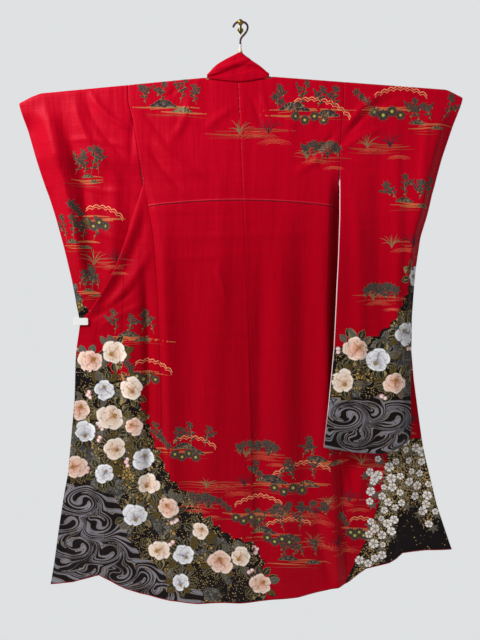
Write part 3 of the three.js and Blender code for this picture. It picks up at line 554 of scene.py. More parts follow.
# ---- creases: soft ridges (+) and troughs (-) on the viewer's side of each piece ----
FOLD_DEPTH = 1.5         # how deep the creases lie for each millimetre in the tables
CREASES = {
    "body": table("x0 z0 x1 z1 bow width depth",
        (6, -200, 24, -900, 0, 6, 1.0), (24, -900, 46, -1780, 0, 7, 1.4),
        (-60, -560, -95, -1760, 12, 42, 5.2), (-168, -640, -190, -1700, -14, 34, -4.8),
        (-232, -560, -214, -1500, 6, 22, 4.4), (118, -600, 128, -1740, -10, 38, 5.0),
        (72, -700, 60, -1700, 8, 24, -5.2), (196, -560, 214, -1500, 10, 30, -4.6),
        (252, -640, 262, -1420, -4, 20, 4.2), (285, -1520, 345, -1745, 6, 24, 6.5),
        (242, -1500, 300, -1760, 4, 18, -5.4), (335, -1180, 372, -1440, 4, 15, -6.6),
        (-20, -240, -105, -300, 6, 11, 2.4), (30, -205, 62, -300, -5, 8, -2.6),
        (66, -200, 92, -262, 3, 6, 2.4), (-150, -190, -205, -330, -12, 12, 2.8),
        (-262, -330, -120, -440, 10, 14, 3.4), (-276, -352, -175, -480, 8, 9, -3.0),
        (-230, -260, -60, -300, -8, 16, 2.0), (-290, -250, -220, -330, 4, 8, -2.2),
        (290, -330, 165, -430, -10, 12, 3.2), (286, -310, 206, -382, -6, 8, -2.8),
        (180, -200, 150, -330, 6, 14, 2.0), (255, -205, 230, -300, -5, 9, -1.8),
        (-250, -620, 250, -604, 6, 12, 1.4), (-240, -690, 120, -674, -4, 10, 1.0),
        (-230, -560, 10, -552, 3, 8, -1.0), (-70, -700, -40, -820, 5, 7, 1.6),
        (-215, -205, -196, -176, 2, 5, -3.4),
        (-294, -740, -292, -1400, 0, 14, -11.0), (-300, -1330, -292, -1700, 4, 16, -4.5),
        (-300, -500, -480, -850, -22, 14, 3.6), (-290, -560, -450, -856, -18, 16, -3.4),
        (-276, -660, -430, -860, -10, 14, 3.0), (-330, -780, -470, -876, -6, 9, -3.0),
        (-300, -830, -440, -900, 4, 10, 2.6), (-480, -905, -420, -1300, 20, 26, 5.2),
        (-488, -930, -500, -1500, -10, 22, -4.0), (-345, -880, -338, -1350, 8, 20, 4.0),
        (-390, -960, -372, -1560, -10, 22, -4.0), (-460, -1380, -505, -1720, 8, 20, 5.0),
        (-545, -1480, -578, -1735, 4, 16, -3.8), (-410, -1400, -420, -1740, -6, 18, -3.4),
        (318, -900, 342, -1320, 4, 16, 3.6), (395, -1180, 372, -1500, -12, 18, 6.2),
        (350, -1290, 330, -1640, 8, 18, -4.6), (430, -1240, 470, -1640, -10, 22, -4.2),
        (515, -1150, 560, -1600, 8, 22, 4.8), (590, -1330, 612, -1630, 4, 14, -3.4),
        (520, -1520, 500, -1670, 6, 16, 4.8)),
    "nape": table("x0 z0 x1 z1 bow width depth",
        (-90, -128, 42, -90, 5, 5, 2.4), (26, -88, 92, -132, 5, 5, 2.0), (-88, -140, 40, -102, 5, 4, -0.8)),
    "left_sleeve": table("x0 z0 x1 z1 bow width depth",
        (-540, -215, -440, -830, -6, 20, -6.5), (-588, -225, -478, -800, -4, 11, 3.0),
        (-452, -190, -330, -300, 16, 9, 4.2), (-470, -200, -335, -390, 20, 10, -3.4),
        (-500, -215, -345, -480, 26, 13, 4.0), (-560, -230, -400, -560, 18, 15, -3.2),
        (-390, -420, -420, -820, -10, 20, 3.8), (-340, -520, -372, -1180, 8, 16, -3.4),
        (-480, -420, -470, -800, 8, 14, -3.0), (-600, -260, -560, -420, -4, 7, 2.6),
        (-520, -330, -350, -352, -8, 7, 1.9), (-540, -450, -360, -486, 6, 8, 1.6),
        (-320, -230, -330, -400, 3, 8, -2.8), (-470, -600, -300, -640, 4, 8, 1.6),
        (-440, -930, -400, -1240, 6, 18, 3.4)),
    "right_sleeve": table("x0 z0 x1 z1 bow width depth",
        (318, -300, 430, -190, -12, 9, 3.8), (312, -330, 470, -205, -16, 10, -3.4),
        (310, -360, 430, -300, -10, 8, 3.0), (306, -390, 400, -420, 8, 9, -2.6),
        (312, -345, 420, -372, -6, 8, 2.2), (340, -440, 372, -1240, -10, 20, 3.8),
        (420, -400, 432, -900, 8, 24, -3.6), (470, -300, 468, -1100, -6, 16, 3.4),
        (392, -900, 402, -1270, 4, 16, -3.0), (570, -230, 545, -520, 4, 10, 2.8),
        (505, -560, 498, -1200, 4, 12, -3.0), (330, -600, 520, -620, -5, 9, 1.3),
        (310, -880, 520, -900, 6, 9, 1.3)),
}
WALL_CREASES = table("x0 z0 x1 z1 bow width depth",  # on the side towards the wall, mirrored to both halves
    (150, -200, 190, -420, 8, 13, 2.4), (255, -190, 230, -400, -8, 12, -2.4),
    (230, -480, 300, -800, 14, 15, 2.6), (420, -240, 360, -700, 12, 16, 2.4),
    (500, -260, 450, -900, -14, 20, -2.6), (340, -430, 350, -1240, 8, 20, 2.6),
    (440, -700, 430, -1230, -8, 18, -2.2), (560, -230, 520, -460, 6, 12, 2.0),
    (540, -215, 440, -830, 6, 20, 6.5))


def relief(creases, x, z):
    """Height of the creases at x, z: each a bowed line with a soft section that dies away at its ends."""
    height = np.zeros(np.broadcast(x, z).shape)
    for x0, z0, x1, z1, bow, width, depth in zip(*creases.values()):
        run = math.hypot(x1 - x0, z1 - z0)
        along = ((x - x0) * (x1 - x0) + (z - z0) * (z1 - z0)) / run ** 2
        off = ((x - x0) * (z1 - z0) - (z - z0) * (x1 - x0)) / run
        off = off - bow * 4 * along * (1 - along)
        ends = ease(-0.12, 0.25, along) * ease(1.12, 0.75, along)
        height = height + FOLD_DEPTH * depth * np.exp(-(off / width) ** 2) * ends
    return height


# ---- cloth shells ----
def normals(grid, side_sign, ring=False):
    """Outward directions at the points of a grid; a ring's last row meets its first."""
    if ring:
        padded = np.concatenate([grid[-1:], grid, grid[:1]])
        down = (padded[2:] - padded[:-2]) / 2
    else:
        down = np.gradient(grid, axis=0)
    across = np.gradient(grid, axis=1)
    cross = np.cross(across, down) * -side_sign
    return cross / np.maximum(np.linalg.norm(cross, axis=-1, keepdims=True), 1e-9)


def creased(grid, sign, creases, ring=False, top=CREASED_FROM):
    """The grid with its creases: the table's on the viewer's side, the wall's own on the other."""
    facing = normals(grid, sign, ring)[..., 1]
    x, z = grid[..., 0], grid[..., 2]
    lift = relief(creases, x, z) * np.clip(-facing, 0, 1)
    back = relief(WALL_CREASES, np.abs(x), z) * np.clip(facing, 0, 1) * ease(CREASED_FROM, -200, z)
    lift = lift * ease(top, top - 18, z)
    moved = grid.copy()
    moved[..., 1] += back - lift
    return moved


def to_metres(points):
    """From the tables' millimetres to the frame's metres."""
    return (np.asarray(points) + (0, 0, TABLE_ZERO)) * MM


def linked(name, data):
    """A new object in the scene that shows this data."""
    made = bpy.data.objects.new(name, data)
    bpy.context.collection.objects.link(made)
    return made


def mesh_object(name, vertices, faces, materials, indices=None):
    """A smooth mesh object, with one material or with one chosen for each face."""
    mesh = bpy.data.meshes.new(name)
    mesh.from_pydata(np.asarray(vertices).tolist(), [], faces)
    for material in materials:
        mesh.materials.append(material)
    if indices is not None:
        mesh.polygons.foreach_set("material_index", indices)
    mesh.shade_smooth()
    mesh.update()
    return linked(name, mesh)


def store(piece, name, values, kind="FLOAT", key="value"):
    """Keeps values at the points of the piece's mesh, where its material reads them."""
    attribute = piece.data.attributes.new(name, kind, "POINT")
    attribute.data.foreach_set(key, values.astype(np.float32).ravel())


SHOWN_FACES = {}        # a piece's outer layer, that motifs are laid on
HEM_FULLER = 1.5        # how much thicker each side of the cloth is at its padded hem
SEAM_DARK = 0.16        # how much of the seam's shadow colour lies on a sewn edge


def rim_faces(start, end, count, flip):
    """Faces between the outer and the inner layer, from each start point to its end point."""
    rim = np.stack([start, end, end + count, start + count], axis=-1)
    return rim[:, ::-1] if flip else rim


def cloth(name, grid, sign, materials, ring=False, half=SILK / 2, hem=None, rolled=2.6):
    """A closed shell of cloth: outer layer, inner layer and rim, its edges rolled in where they are sewn."""
    rows, columns = grid.shape[:2]
    normal = normals(grid, sign, ring)
    thick = np.full((rows, columns, 1), half)
    if hem:
        low = grid[..., 2:3].min(axis=0, keepdims=True)
        thick = thick + HEM_FULLER * ease(hem, 3, grid[..., 2:3] - low)
    edge = np.minimum(np.arange(columns), np.arange(columns)[::-1])[None, :, None]
    roll = np.where(edge == 0, rolled * half * 0.5, np.where(edge == 1, rolled * half * 0.12, 0))
    outer = grid + normal * (thick - roll)
    inner = grid - normal * thick
    count = rows * columns
    last = rows if ring else rows - 1
    r, c = np.meshgrid(np.arange(last), np.arange(columns - 1), indexing="ij")
    a, b = r * columns + c, r * columns + c + 1
    d, e = ((r + 1) % rows) * columns + c, ((r + 1) % rows) * columns + c + 1
    quads = np.stack([a, b, e, d], axis=-1).reshape(-1, 4)
    if sign > 0:
        quads = quads[:, ::-1]
    down, across = np.arange(last) * columns, np.arange(columns - 1)
    rims = [rim_faces(start, (start + columns) % count, count, flip != (sign > 0))
            for start, flip in ((down, False), (down + columns - 1, True))]
    if not ring:
        rims += [rim_faces(start, start + 1, count, flip != (sign > 0))
                 for start, flip in ((across, True), (across + (rows - 1) * columns, False))]
    rims = np.concatenate(rims)
    everything = np.concatenate([quads, quads[:, ::-1] + count, rims])
    index = np.concatenate([np.zeros(len(quads)), np.ones(len(quads)), np.full(len(rims), 2)]).astype(int)
    vertices = np.concatenate([outer.reshape(-1, 3), inner.reshape(-1, 3)])
    piece = mesh_object(f"{name}_silk", to_metres(vertices), everything.tolist(), materials, index.tolist())
    SHOWN_FACES[name] = (outer.reshape(-1, 3), quads)
    # painted shade: the columns nearest each sewn edge get a darker dye, standing in for the shadow in the
    # seam
    painted_seam_shade = SEAM_DARK * np.exp(-(np.minimum(edge[..., 0], 9) / 1.2) ** 2) * np.ones((rows, 1))
    at_hem = np.zeros((rows, columns), bool)
    at_hem[-1] = bool(hem)
    dye_fields(piece, vertices, *(np.concatenate([field.reshape(-1)] * 2) for field in (painted_seam_shade, at_hem)))
    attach(piece, "root")
    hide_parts(name)


# ---- dyed fields: how far inside each field a point of the cloth lies ----
CLOUD_BANK = (40, 11)   # length and height of the lobes along the edge of the black ground
SLEEVE_SHORE = (70, 6)  # the same along the water
BODY_SHORE = (90, 8)
STONES_BELOW = -1215    # on the body the clouded stones start below this height
SLEEVE_STONES, BODY_STONES = 24, 22     # how far inside the black ground they start, on each
OFF_WATER = 3           # and how far short of the water they stop
FAR = 200               # distances past this one aren't told apart
STREAM = (0.85, 1.2)    # the water is drawn squeezed in width and drawn out in height by these
BODY_FIELD = [  # outline of the black ground on the left and along the hem
    (-510, -1000), (-440, -1010), (-400, -1048), (-350, -1090), (-318, -1160), (-290, -1240), (-262, -1320),
    (-222, -1392), (-166, -1450), (-104, -1528), (-30, -1585), (40, -1606), (74, -1672), (80, -1840),
    (-900, -1840), (-900, -1000),
]
OVERLAP_FIELD = [  # the black ground of the right front, past its straight edge
    (500, -1262), (475, -1315), (454, -1466), (412, -1603), (340, -1755), (420, -1900), (900, -1900),
    (900, -1262),
]
OVERLAP_FLOWERING = [  # where that ground is thick with gold and leaves
    (470, -1240), (440, -1330), (400, -1640), (330, -1790), (400, -1740), (470, -1650), (500, -1520),
    (560, -1470), (606, -1560), (660, -1500), (640, -1300), (600, -1240),
]
SLEEVE_FIELD = [  # the lower part of a sleeve, outwards from the middle
    (240, -985), (300, -962), (350, -935), (392, -942), (430, -918), (470, -880), (520, -770), (700, -740),
    (700, -1400), (240, -1400),
]
BODY_WATER = [
    (-800, -1396), (-563, -1404), (-480, -1420), (-415, -1450), (-374, -1510), (-368, -1590), (-325, -1655),
    (-225, -1722), (-130, -1770), (-100, -1860), (-800, -1860),
]
SLEEVE_WATER = [
    (200, -1128), (300, -1116), (380, -1124), (450, -1108), (520, -1116), (700, -1112), (700, -1400),
    (200, -1400),
]


def inside(outline, x, z, pitch=None, lobe=0):
    """Distance inside a closed outline, negative outside it; lobes make its edge a bank of cloud."""
    a = np.array(outline, float)
    b = np.roll(a, -1, axis=0)
    run = b - a
    length = np.linalg.norm(run, axis=1)
    passed = np.concatenate([[0], np.cumsum(length)[:-1]])
    px, pz = x[:, None] - a[:, 0], z[:, None] - a[:, 1]
    share = np.clip((px * run[:, 0] + pz * run[:, 1]) / length ** 2, 0, 1)
    apart = np.hypot(px - share * run[:, 0], pz - share * run[:, 1])
    nearest = apart.argmin(axis=1)
    at = np.arange(len(x))
    crosses = (a[:, 1] > z[:, None]) != (b[:, 1] > z[:, None])
    steep = np.where(run[:, 1] == 0, 1e-9, run[:, 1])
    left_of = x[:, None] < a[:, 0] + run[:, 0] * pz / steep
    within = (crosses & left_of).sum(axis=1) % 2 == 1
    distance = np.where(within, apart[at, nearest], -apart[at, nearest])
    if pitch:
        along = passed[nearest] + share[at, nearest] * length[nearest]
        distance = distance + lobe * (np.abs(np.sin(math.pi * along / pitch)) - 0.4)
    return distance


def dye_fields(piece, points, painted_seam_shade, at_hem):
    """Stores, at each point of the cloth, how far it lies inside each dyed field, where water runs, and
    painted shade.
    """
    x, z = points[:, 0], points[:, 2]
    if "sleeve" in piece.name:
        across = np.abs(x)
        ink = inside(SLEEVE_FIELD, across, z, *CLOUD_BANK)
        water = inside(SLEEVE_WATER, across, z, *SLEEVE_SHORE)
        stone = np.minimum(ink - SLEEVE_STONES + 0.2 * (across - 360), -water - OFF_WATER)
        dust = np.clip(0.32 + ink / 260, 0, 0.7)
    else:
        across = x
        left = inside(BODY_FIELD, x, z, *CLOUD_BANK)
        right = inside(OVERLAP_FIELD, x, z)
        ink = np.maximum(left, right)
        water = inside(BODY_WATER, x, z, *BODY_SHORE)
        stone = np.minimum(left - BODY_STONES, -water - OFF_WATER)
        stone = np.minimum(stone, (STONES_BELOW - z) * 0.6)
        flowering = inside(OVERLAP_FLOWERING, x, z)
        right_dust, left_dust = np.clip(0.4 + flowering / 100, 0.04, 0.8), np.clip(0.4 + left / 300, 0, 0.7)
        dust = np.where(x > 200, right_dust, left_dust)
    ink = np.where(at_hem, -np.abs(ink), ink)  # the lining's red edge shows under the hem
    # fold is the painted seam shade; deep is a painted shade, a darker red lower down that stands in for
    # light falling from above
    fields = {"ink": ink, "stone": np.minimum(stone, ink), "water": np.minimum(water, ink), "dust": dust,
              "fold": painted_seam_shade, "deep": 0.7 * ease(-300, -800, z)}
    for name, values in fields.items():
        store(piece, name, np.clip(values, -FAR, FAR))
    stream = np.stack([across * MM * STREAM[0], 0 * x, (z + TABLE_ZERO) * MM * STREAM[1]], axis=-1)
    store(piece, "stream", stream, "FLOAT_VECTOR", "vector")


# ---- materials ----
MATH, MIX, NOISE, RANGE = "ShaderNodeMath", "ShaderNodeMix", "ShaderNodeTexNoise", "ShaderNodeMapRange"
CELLS, SPLIT, BUMP, VECTOR = ("ShaderNodeTexVoronoi", "ShaderNodeSeparateColor", "ShaderNodeBump",
                              "ShaderNodeVectorMath")
PLACE, FIELD, STRETCH = "ShaderNodeTexCoord", "ShaderNodeAttribute", "ShaderNodeMapping"
RGBA = {"out": 2, "data_type": "RGBA"}      # settings of a mix of two colours, which are its inputs 6 and 7


def node(tree, kind, inputs=None, out=None, **settings):
    """Adds a node with its settings and links, and returns the node, or the output that is named."""
    made = tree.nodes.new(kind)
    for key, value in settings.items():
        setattr(made, key, value)
    for key, value in (inputs or {}).items():
        if isinstance(value, bpy.types.NodeSocket):
            tree.links.new(value, made.inputs[key])
        else:
            made.inputs[key].default_value = value
    return made if out is None else made.outputs[out]


def new_material(name, roughness, metallic=0.0, **sockets):
    """A material with its shader; the sockets named are set on the shader itself."""
    material = bpy.data.materials.new(name)
    material.use_nodes = True
    shader = material.node_tree.nodes["Principled BSDF"]
    shader.inputs["Roughness"].default_value = roughness
    shader.inputs["Metallic"].default_value = metallic
    for key, value in sockets.items():
        shader.inputs[key.replace("_", " ")].default_value = value
    return material, material.node_tree, shader


def feed(tree, shader, **outputs):
    """Leads the outputs of nodes to the shader's sockets of these names."""
    for key, output in outputs.items():
        tree.links.new(output, shader.inputs[key.replace("_", " ")])


def silk_bump(tree, place, strength=0.14):
    """Crepe silk: pebbles of 1.6 mm, coarser than real ones so that they show, from its tightly twisted
    weft; slack waves down its length, and pulls across it."""
    pebbles = node(tree, NOISE, {"Vector": place, "Scale": 620, "Detail": 2}, out="Fac")
    tall = node(tree, STRETCH, {"Vector": place, "Scale": (17, 17, 2.6)}, out="Vector")
    slack = node(tree, NOISE, {"Vector": tall, "Scale": 1, "Detail": 3}, out="Fac")
    wide = node(tree, STRETCH, {"Vector": place, "Scale": (4, 4, 30)}, out="Vector")
    pulls = node(tree, NOISE, {"Vector": wide, "Scale": 1, "Detail": 4}, out="Fac")
    fine = node(tree, BUMP, {"Strength": strength, "Distance": 0.0006, "Height": pebbles}, out="Normal")
    soft = node(tree, BUMP, {"Strength": 0.75, "Distance": 0.009, "Height": slack, "Normal": fine},
                out="Normal")
    return node(tree, BUMP, {"Strength": 0.5, "Distance": 0.005, "Height": pulls, "Normal": soft},
                out="Normal")


WATER_PERIOD = 0.037    # from one ribbon of the water to the next, on the drawn-out water
WINDING = 0.6           # share of its full winding that each whorl has
WHORLS = table("x z reach turn",  # the water's whorls: where each is, how far it reaches, how it winds
    (-512, -1466, 62, 8.5), (-560, -1530, 58, 7.5), (-468, -1545, 64, -8), (-535, -1612, 70, 8.5),
    (-440, -1632, 66, 7.5), (-590, -1668, 56, -7), (-500, -1690, 60, 8), (-405, -1712, 62, -8),
    (-338, -1722, 60, 8), (-265, -1776, 56, 7.5), (-330, -1790, 46, -7),
    (330, -1172, 62, 8.5), (402, -1166, 48, -7.5), (470, -1176, 62, 8), (352, -1240, 56, -8),
    (424, -1226, 64, 9), (496, -1244, 54, 7.5), (292, -1226, 44, 7), (384, -1278, 40, 7))


def running_water(tree, stream):
    """Ribbons of running water wound into whorls: how high a point is on the ribbon that it lies in."""
    for x, z, reach, turn in zip(*WHORLS.values()):
        middle = (x * MM * STREAM[0], 0, (z + TABLE_ZERO) * MM * STREAM[1])
        away = node(tree, VECTOR, {0: stream, 1: middle}, out="Value", operation="DISTANCE")
        winding = node(tree, RANGE, {"Value": away, "From Max": 1.2 * reach * MM, "To Min": turn * WINDING,
                                     "To Max": 0},
                       out=0, interpolation_type="SMOOTHERSTEP")
        stream = node(tree, "ShaderNodeVectorRotate", {"Vector": stream, "Center": middle, "Angle": winding},
                      out=0, rotation_type="Y_AXIS")
    drift = node(tree, NOISE, {"Vector": stream, "Scale": 9, "Detail": 1}, out="Color")
    bent = node(tree, VECTOR, {0: drift, 1: (0.05, 0, 0.05), 2: stream}, out=0, operation="MULTIPLY_ADD")
    height = node(tree, VECTOR, {0: bent, 1: (0.3, 0, 1)}, out="Value", operation="DOT_PRODUCT")
    phase = node(tree, MATH, {0: height, 1: 2 * math.pi / WATER_PERIOD}, out=0, operation="MULTIPLY")
    return node(tree, MATH, {0: phase}, out=0, operation="SINE")


def figured_silk(name):
    """Crepe silk dyed in fields, red, black under gold dust, clouded stones and running water: a dull
    sheen that goes pink where the light rakes it, and flat matt blacks."""
    material, tree, shader = new_material(name, 0.5, Specular_IOR_Level=0.2, Sheen_Weight=0.04,
                                          Sheen_Tint=linear("#FF2850"))
    place = node(tree, PLACE, out="Object")
    # the field named fold holds the painted seam shade: a dark red laid on the sewn edges for the shadow in
    # each seam
    inked, deep, dust, stony, wet, fold = (
        node(tree, FIELD, out="Fac", attribute_name=key)
        for key in ("ink", "deep", "dust", "stone", "water", "fold"))
    stream = node(tree, FIELD, out="Vector", attribute_name="stream")

    clouds = node(tree, NOISE, {"Vector": place, "Scale": 5, "Detail": 3}, out="Fac")
    red = node(tree, MIX, {0: clouds, 6: linear("#B30018"), 7: linear("#C80222")}, **RGBA)
    # painted shade: the red darkens lower down the garment, as light from above would leave it
    red = node(tree, MIX, {0: deep, 6: red, 7: linear("#A20012")}, **RGBA)

    # gold dust: one grain to a cell of 4.5 mm, more of them where the dust field is high
    grains = node(tree, CELLS, {"Vector": place, "Scale": 220})
    chance = node(tree, SPLIT, {"Color": grains.outputs["Color"]})
    size = node(tree, RANGE, {"Value": chance.outputs["Green"], "To Min": 0.14, "To Max": 0.4}, out=0)
    grain = node(tree, MATH, {0: grains.outputs["Distance"], 1: size}, out=0, operation="LESS_THAN")
    chosen = node(tree, MATH, {0: chance.outputs["Red"], 1: dust}, out=0, operation="LESS_THAN")
    gilt = node(tree, MATH, {0: grain, 1: chosen}, out=0, operation="MULTIPLY")
    black = node(tree, MIX, {0: gilt, 6: linear("#0E0B0B"), 7: linear("#C6A56A")}, **RGBA)

    # crazed stones about 11 mm across, grey in drifts and gilt in others
    crazed = {"Vector": place, "Scale": 92, "Randomness": 0.85}
    rims = node(tree, CELLS, crazed, out="Distance", feature="DISTANCE_TO_EDGE")
    chance = node(tree, SPLIT, {"Color": node(tree, CELLS, crazed, out="Color")})
    drifts = node(tree, NOISE, {"Vector": place, "Scale": 11, "Detail": 1}, out="Fac")
    share = node(tree, RANGE, {"Value": drifts, "From Min": 0.42, "From Max": 0.66}, out=0)
    golden = node(tree, MATH, {0: chance.outputs["Red"], 1: share}, out=0, operation="LESS_THAN")
    stone = node(tree, MIX, {0: golden, 6: linear("#6E6A63"), 7: linear("#AC8E52")}, **RGBA)
    depth = node(tree, RANGE, {"Value": chance.outputs["Blue"], "To Min": 0.35, "To Max": 1.2}, out=0)
    stone = node(tree, VECTOR, {0: stone, "Scale": depth}, out=0, operation="SCALE")
    wide = node(tree, RANGE, {"Value": golden, "To Min": 0.05, "To Max": 0.11}, out=0)
    gap = node(tree, MATH, {0: rims, 1: wide}, out=0, operation="LESS_THAN")
    stone = node(tree, MIX, {0: gap, 6: stone, 7: linear("#151110")}, **RGBA)

    # each ribbon of water is edged in tan, and a dark hairline runs in its grey
    flow = running_water(tree, stream)
    swell = node(tree, NOISE, {"Vector": place, "Scale": 24, "Detail": 0}, out="Fac")
    shore = node(tree, RANGE, {"Value": swell, "From Min": 0.3, "From Max": 0.7, "To Min": 0.0,
                               "To Max": 0.5}, out=0)
    edge = node(tree, MATH, {0: flow, 1: shore}, out=0, operation="GREATER_THAN")
    inner = node(tree, MATH, {0: shore, 1: 0.17}, out=0, operation="ADD")
    core = node(tree, MATH, {0: flow, 1: inner}, out=0, operation="GREATER_THAN")
    from_line = node(tree, MATH, {0: flow, 1: inner}, out=0, operation="SUBTRACT")
    line = node(tree, MATH, {0: from_line, 1: 0.3, 2: 0.07}, out=0, operation="COMPARE")
    ribbon = linear("#0F0C0D")
    for drawn, tone in ((edge, "#9C8262"), (core, "#85828A"), (line, "#3A3739")):
        ribbon = node(tree, MIX, {0: drawn, 6: ribbon, 7: linear(tone)}, **RGBA)

    # the fields lie one over another, and the stones are left out in drifts; last comes the painted seam
    # shade, a dark red on the sewn edges
    in_ink = node(tree, MATH, {0: inked, 1: 0}, out=0, operation="GREATER_THAN")
    bare = node(tree, NOISE, {"Vector": place, "Scale": 7.5, "Detail": 1}, out="Fac")
    bare = node(tree, RANGE, {"Value": bare, "From Min": 0.44, "From Max": 0.56, "To Max": 90}, out=0)
    in_stone = node(tree, MATH, {0: stony, 1: bare}, out=0, operation="GREATER_THAN")
    in_water = node(tree, MATH, {0: wet, 1: 0}, out=0, operation="GREATER_THAN")
    colour = red
    for where, dyed in ((in_ink, black), (in_stone, stone), (in_water, ribbon), (fold, linear("#30020A"))):
        colour = node(tree, MIX, {0: where, 6: colour, 7: dyed}, **RGBA)
    glint = node(tree, MIX, {0: in_ink, 6: linear("#FF4878"), 7: linear("#C8C4C8")}, **RGBA)
    feed(tree, shader, Base_Color=colour, Specular_Tint=glint, Normal=silk_bump(tree, place))
    return material


def plain_silk(name, above, below):
    """Plain-woven lining silk: thinner and smoother than the crepe, pale above and dyed red below."""
    material, tree, shader = new_material(name, 0.45, Specular_IOR_Level=0.2)
    place = node(tree, PLACE, out="Object")
    cloudy = node(tree, NOISE, {"Vector": place, "Scale": 9, "Detail": 3}, out="Color")
    shifted = node(tree, VECTOR, {0: cloudy, 1: (0, 0, 0.12), 2: place}, out=0, operation="MULTIPLY_ADD")
    xyz = node(tree, "ShaderNodeSeparateXYZ", {"Vector": shifted})
    low = node(tree, RANGE, {"Value": xyz.outputs["Z"], "From Min": -1.05, "From Max": -1.3}, out=0)
    colour = node(tree, MIX, {0: low, 6: linear(above), 7: linear(below)}, **RGBA)
    feed(tree, shader, Base_Color=colour, Normal=silk_bump(tree, place, 0.08))
    return material


def dyed_motif(name):
    """Hand-dyed and gilded figures on the crepe: matt, with the crepe's own pebbles through them."""
    material, tree, shader = new_material(name, 0.55, Specular_IOR_Level=0.15)
    place = node(tree, PLACE, out="Object")
    dye = node(tree, FIELD, out="Color", attribute_name="dye")
    thread = node(tree, NOISE, {"Vector": place, "Scale": 420, "Detail": 2}, out="Fac")
    worn = node(tree, RANGE, {"Value": thread, "To Min": 0.82, "To Max": 1.14}, out=0)
    colour = node(tree, VECTOR, {0: dye, "Scale": worn}, out=0, operation="SCALE")
    feed(tree, shader, Base_Color=colour, Normal=silk_bump(tree, place))
    return material


def gold_leaf(name):
    """Beaten gold leaf glued on with rice paste: a pale dull metal, rubbed in places."""
    material, tree, shader = new_material(name, 0.5, metallic=0.35, Specular_IOR_Level=0.3)
    place = node(tree, PLACE, out="Object")
    rubbed = node(tree, NOISE, {"Vector": place, "Scale": 130, "Detail": 2}, out="Fac")
    colour = node(tree, MIX, {0: rubbed, 6: linear("#8F6F38"), 7: linear("#D9BC84")}, **RGBA)
    feed(tree, shader, Base_Color=colour)
    return material


RED_CREPE = figured_silk("dyed_silk_crepe")
OVERLAP_CREPE = figured_silk("dyed_silk_crepe_overlap")
LINING_SILK = plain_silk("plain_woven_lining_silk", "#EBD5D8", "#B8112A")
RED_LINING = plain_silk("red_edge_silk", "#A8001E", "#A8001E")
MOTIF_DYE = dyed_motif("hand_dyed_figures")
GOLD_LEAF = gold_leaf("beaten_gold_leaf")
SILKS = [RED_CREPE, LINING_SILK, RED_LINING]
OVERLAP_SILKS = [OVERLAP_CREPE, LINING_SILK, RED_LINING]


# ---- the cloth pieces ----
HEM_HEIGHT = 16         # height of the padded hem
BODY_PIECES = (         # each piece's grid, silks, slot and hem
    ("back", back_grid, SILKS, "figured_silk", HEM_HEIGHT),
    ("front", panel_grid, SILKS, "figured_silk", HEM_HEIGHT),
    ("okumi", okumi_grid, OVERLAP_SILKS, "overlap_silk", HEM_HEIGHT),
    ("collar", collar_grid, SILKS, "figured_silk", None),
)
for side in (LEFT, RIGHT):
    for piece, make_grid, silks, slot, hem in BODY_PIECES:
        shape = creased(make_grid(side), side.sign, CREASES["body"])
        cloth(f"{piece}_{side.name}", shape, side.sign, silks, hem=hem)
    sleeve = creased(sleeve_grid(side), side.sign, CREASES[f"{side.name}_sleeve"], ring=True)
    cloth(f"sleeve_{side.name}", sleeve, side.sign, SILKS, ring=True)
    cloth(f"lining_edge_{side.name}", lining_grid(side), side.sign, [LINING_SILK] * 3,
          half=0.5, rolled=1.6)
nape = creased(nape_grid()[::-1], 1, CREASES["nape"], top=0)
cloth("collar_nape", nape, 1, SILKS, half=0.8)


# ---- motifs: flat figures drawn across and up in millimetres, then laid on the cloth ----
class Figures:
    """Figures of one kind, gathered before they are laid on the cloth."""

    def __init__(self):
        self.points, self.colours, self.layers, self.faces = [], [], [], []
        self.count = 0

    def add(self, points, colours, faces, layer):
        """Adds points with a colour or colours, and faces that count from the first of them."""
        points = np.asarray(points, float).reshape(-1, 2)
        colours = np.broadcast_to(np.asarray(colours, float), (len(points), 4))
        self.points.append(points)
        self.colours.append(colours)
        self.layers.append(np.zeros(len(points)) + layer)
        self.faces.extend([tuple(corner + self.count for corner in face) for face in faces])
        self.count += len(points)

    def grid(self, points, colours, layer):
        """Adds rows and columns of points, with a face between each four."""
        rows, columns = points.shape[:2]
        faces = [(a, a + 1, a + columns + 1, a + columns) for r in range(rows - 1)
                 for a in range(r * columns, r * columns + columns - 1)]
        self.add(points, np.asarray(colours).reshape(-1, 4), faces, layer)


def turned(points, x, z, turn):
    """Points turned about zero and then moved to x, z."""
    cos, sin = math.cos(turn), math.sin(turn)
    points = np.asarray(points, float)
    return np.stack([x + points[..., 0] * cos - points[..., 1] * sin,
                     z + points[..., 0] * sin + points[..., 1] * cos], axis=-1)


def shade(first, second, share):
    """One colour on its way to another."""
    return np.array(first) * (1 - share) + np.array(second) * share


# a petal's root, its face, its pale rim and its edge line
CREAM = [linear(c) for c in ("#C08056", "#F6D6BC", "#FFF4E8", "#9A6644")]
PEACH = [linear(c) for c in ("#BE6648", "#F3BEA2", "#FDE8DA", "#965038")]
WHITE = [linear(c) for c in ("#8A8492", "#E4E0E2", "#FCFAFA", "#6E6876")]
BLOSSOM = [linear(c) for c in ("#C2AEA6", "#E8DFD7", "#F8F4EF", "#C6BAB2")]
TINTS = {"c": CREAM, "p": PEACH, "w": WHITE}
LEAF_DARK, LEAF_OLIVE, LEAF_GREY = linear("#171D17"), linear("#5C4A16"), linear("#55544F")
LEAF_LINE, GOLD, POLLEN = linear("#A08A5C"), linear("#C2A25C"), linear("#A07C22")
TWIG, TWIG_LINE, EMBER, MIST = (linear(c) for c in ("#2B2430", "#8A7450", "#F3A274", "#C4653C"))
MIST_DEEP, CORAL, BUD, BUD_SHADE = (linear(c) for c in ("#B23C2A", "#DE5C44", "#FBE9E4", "#D98F8C"))
PETAL_LEVELS = (0.1, 0.38, 0.62, 0.8, 0.94, 1.0)    # shares of a petal's length that have points
BLOSSOM_LEVELS = (0.12, 0.55, 0.92, 1.0)


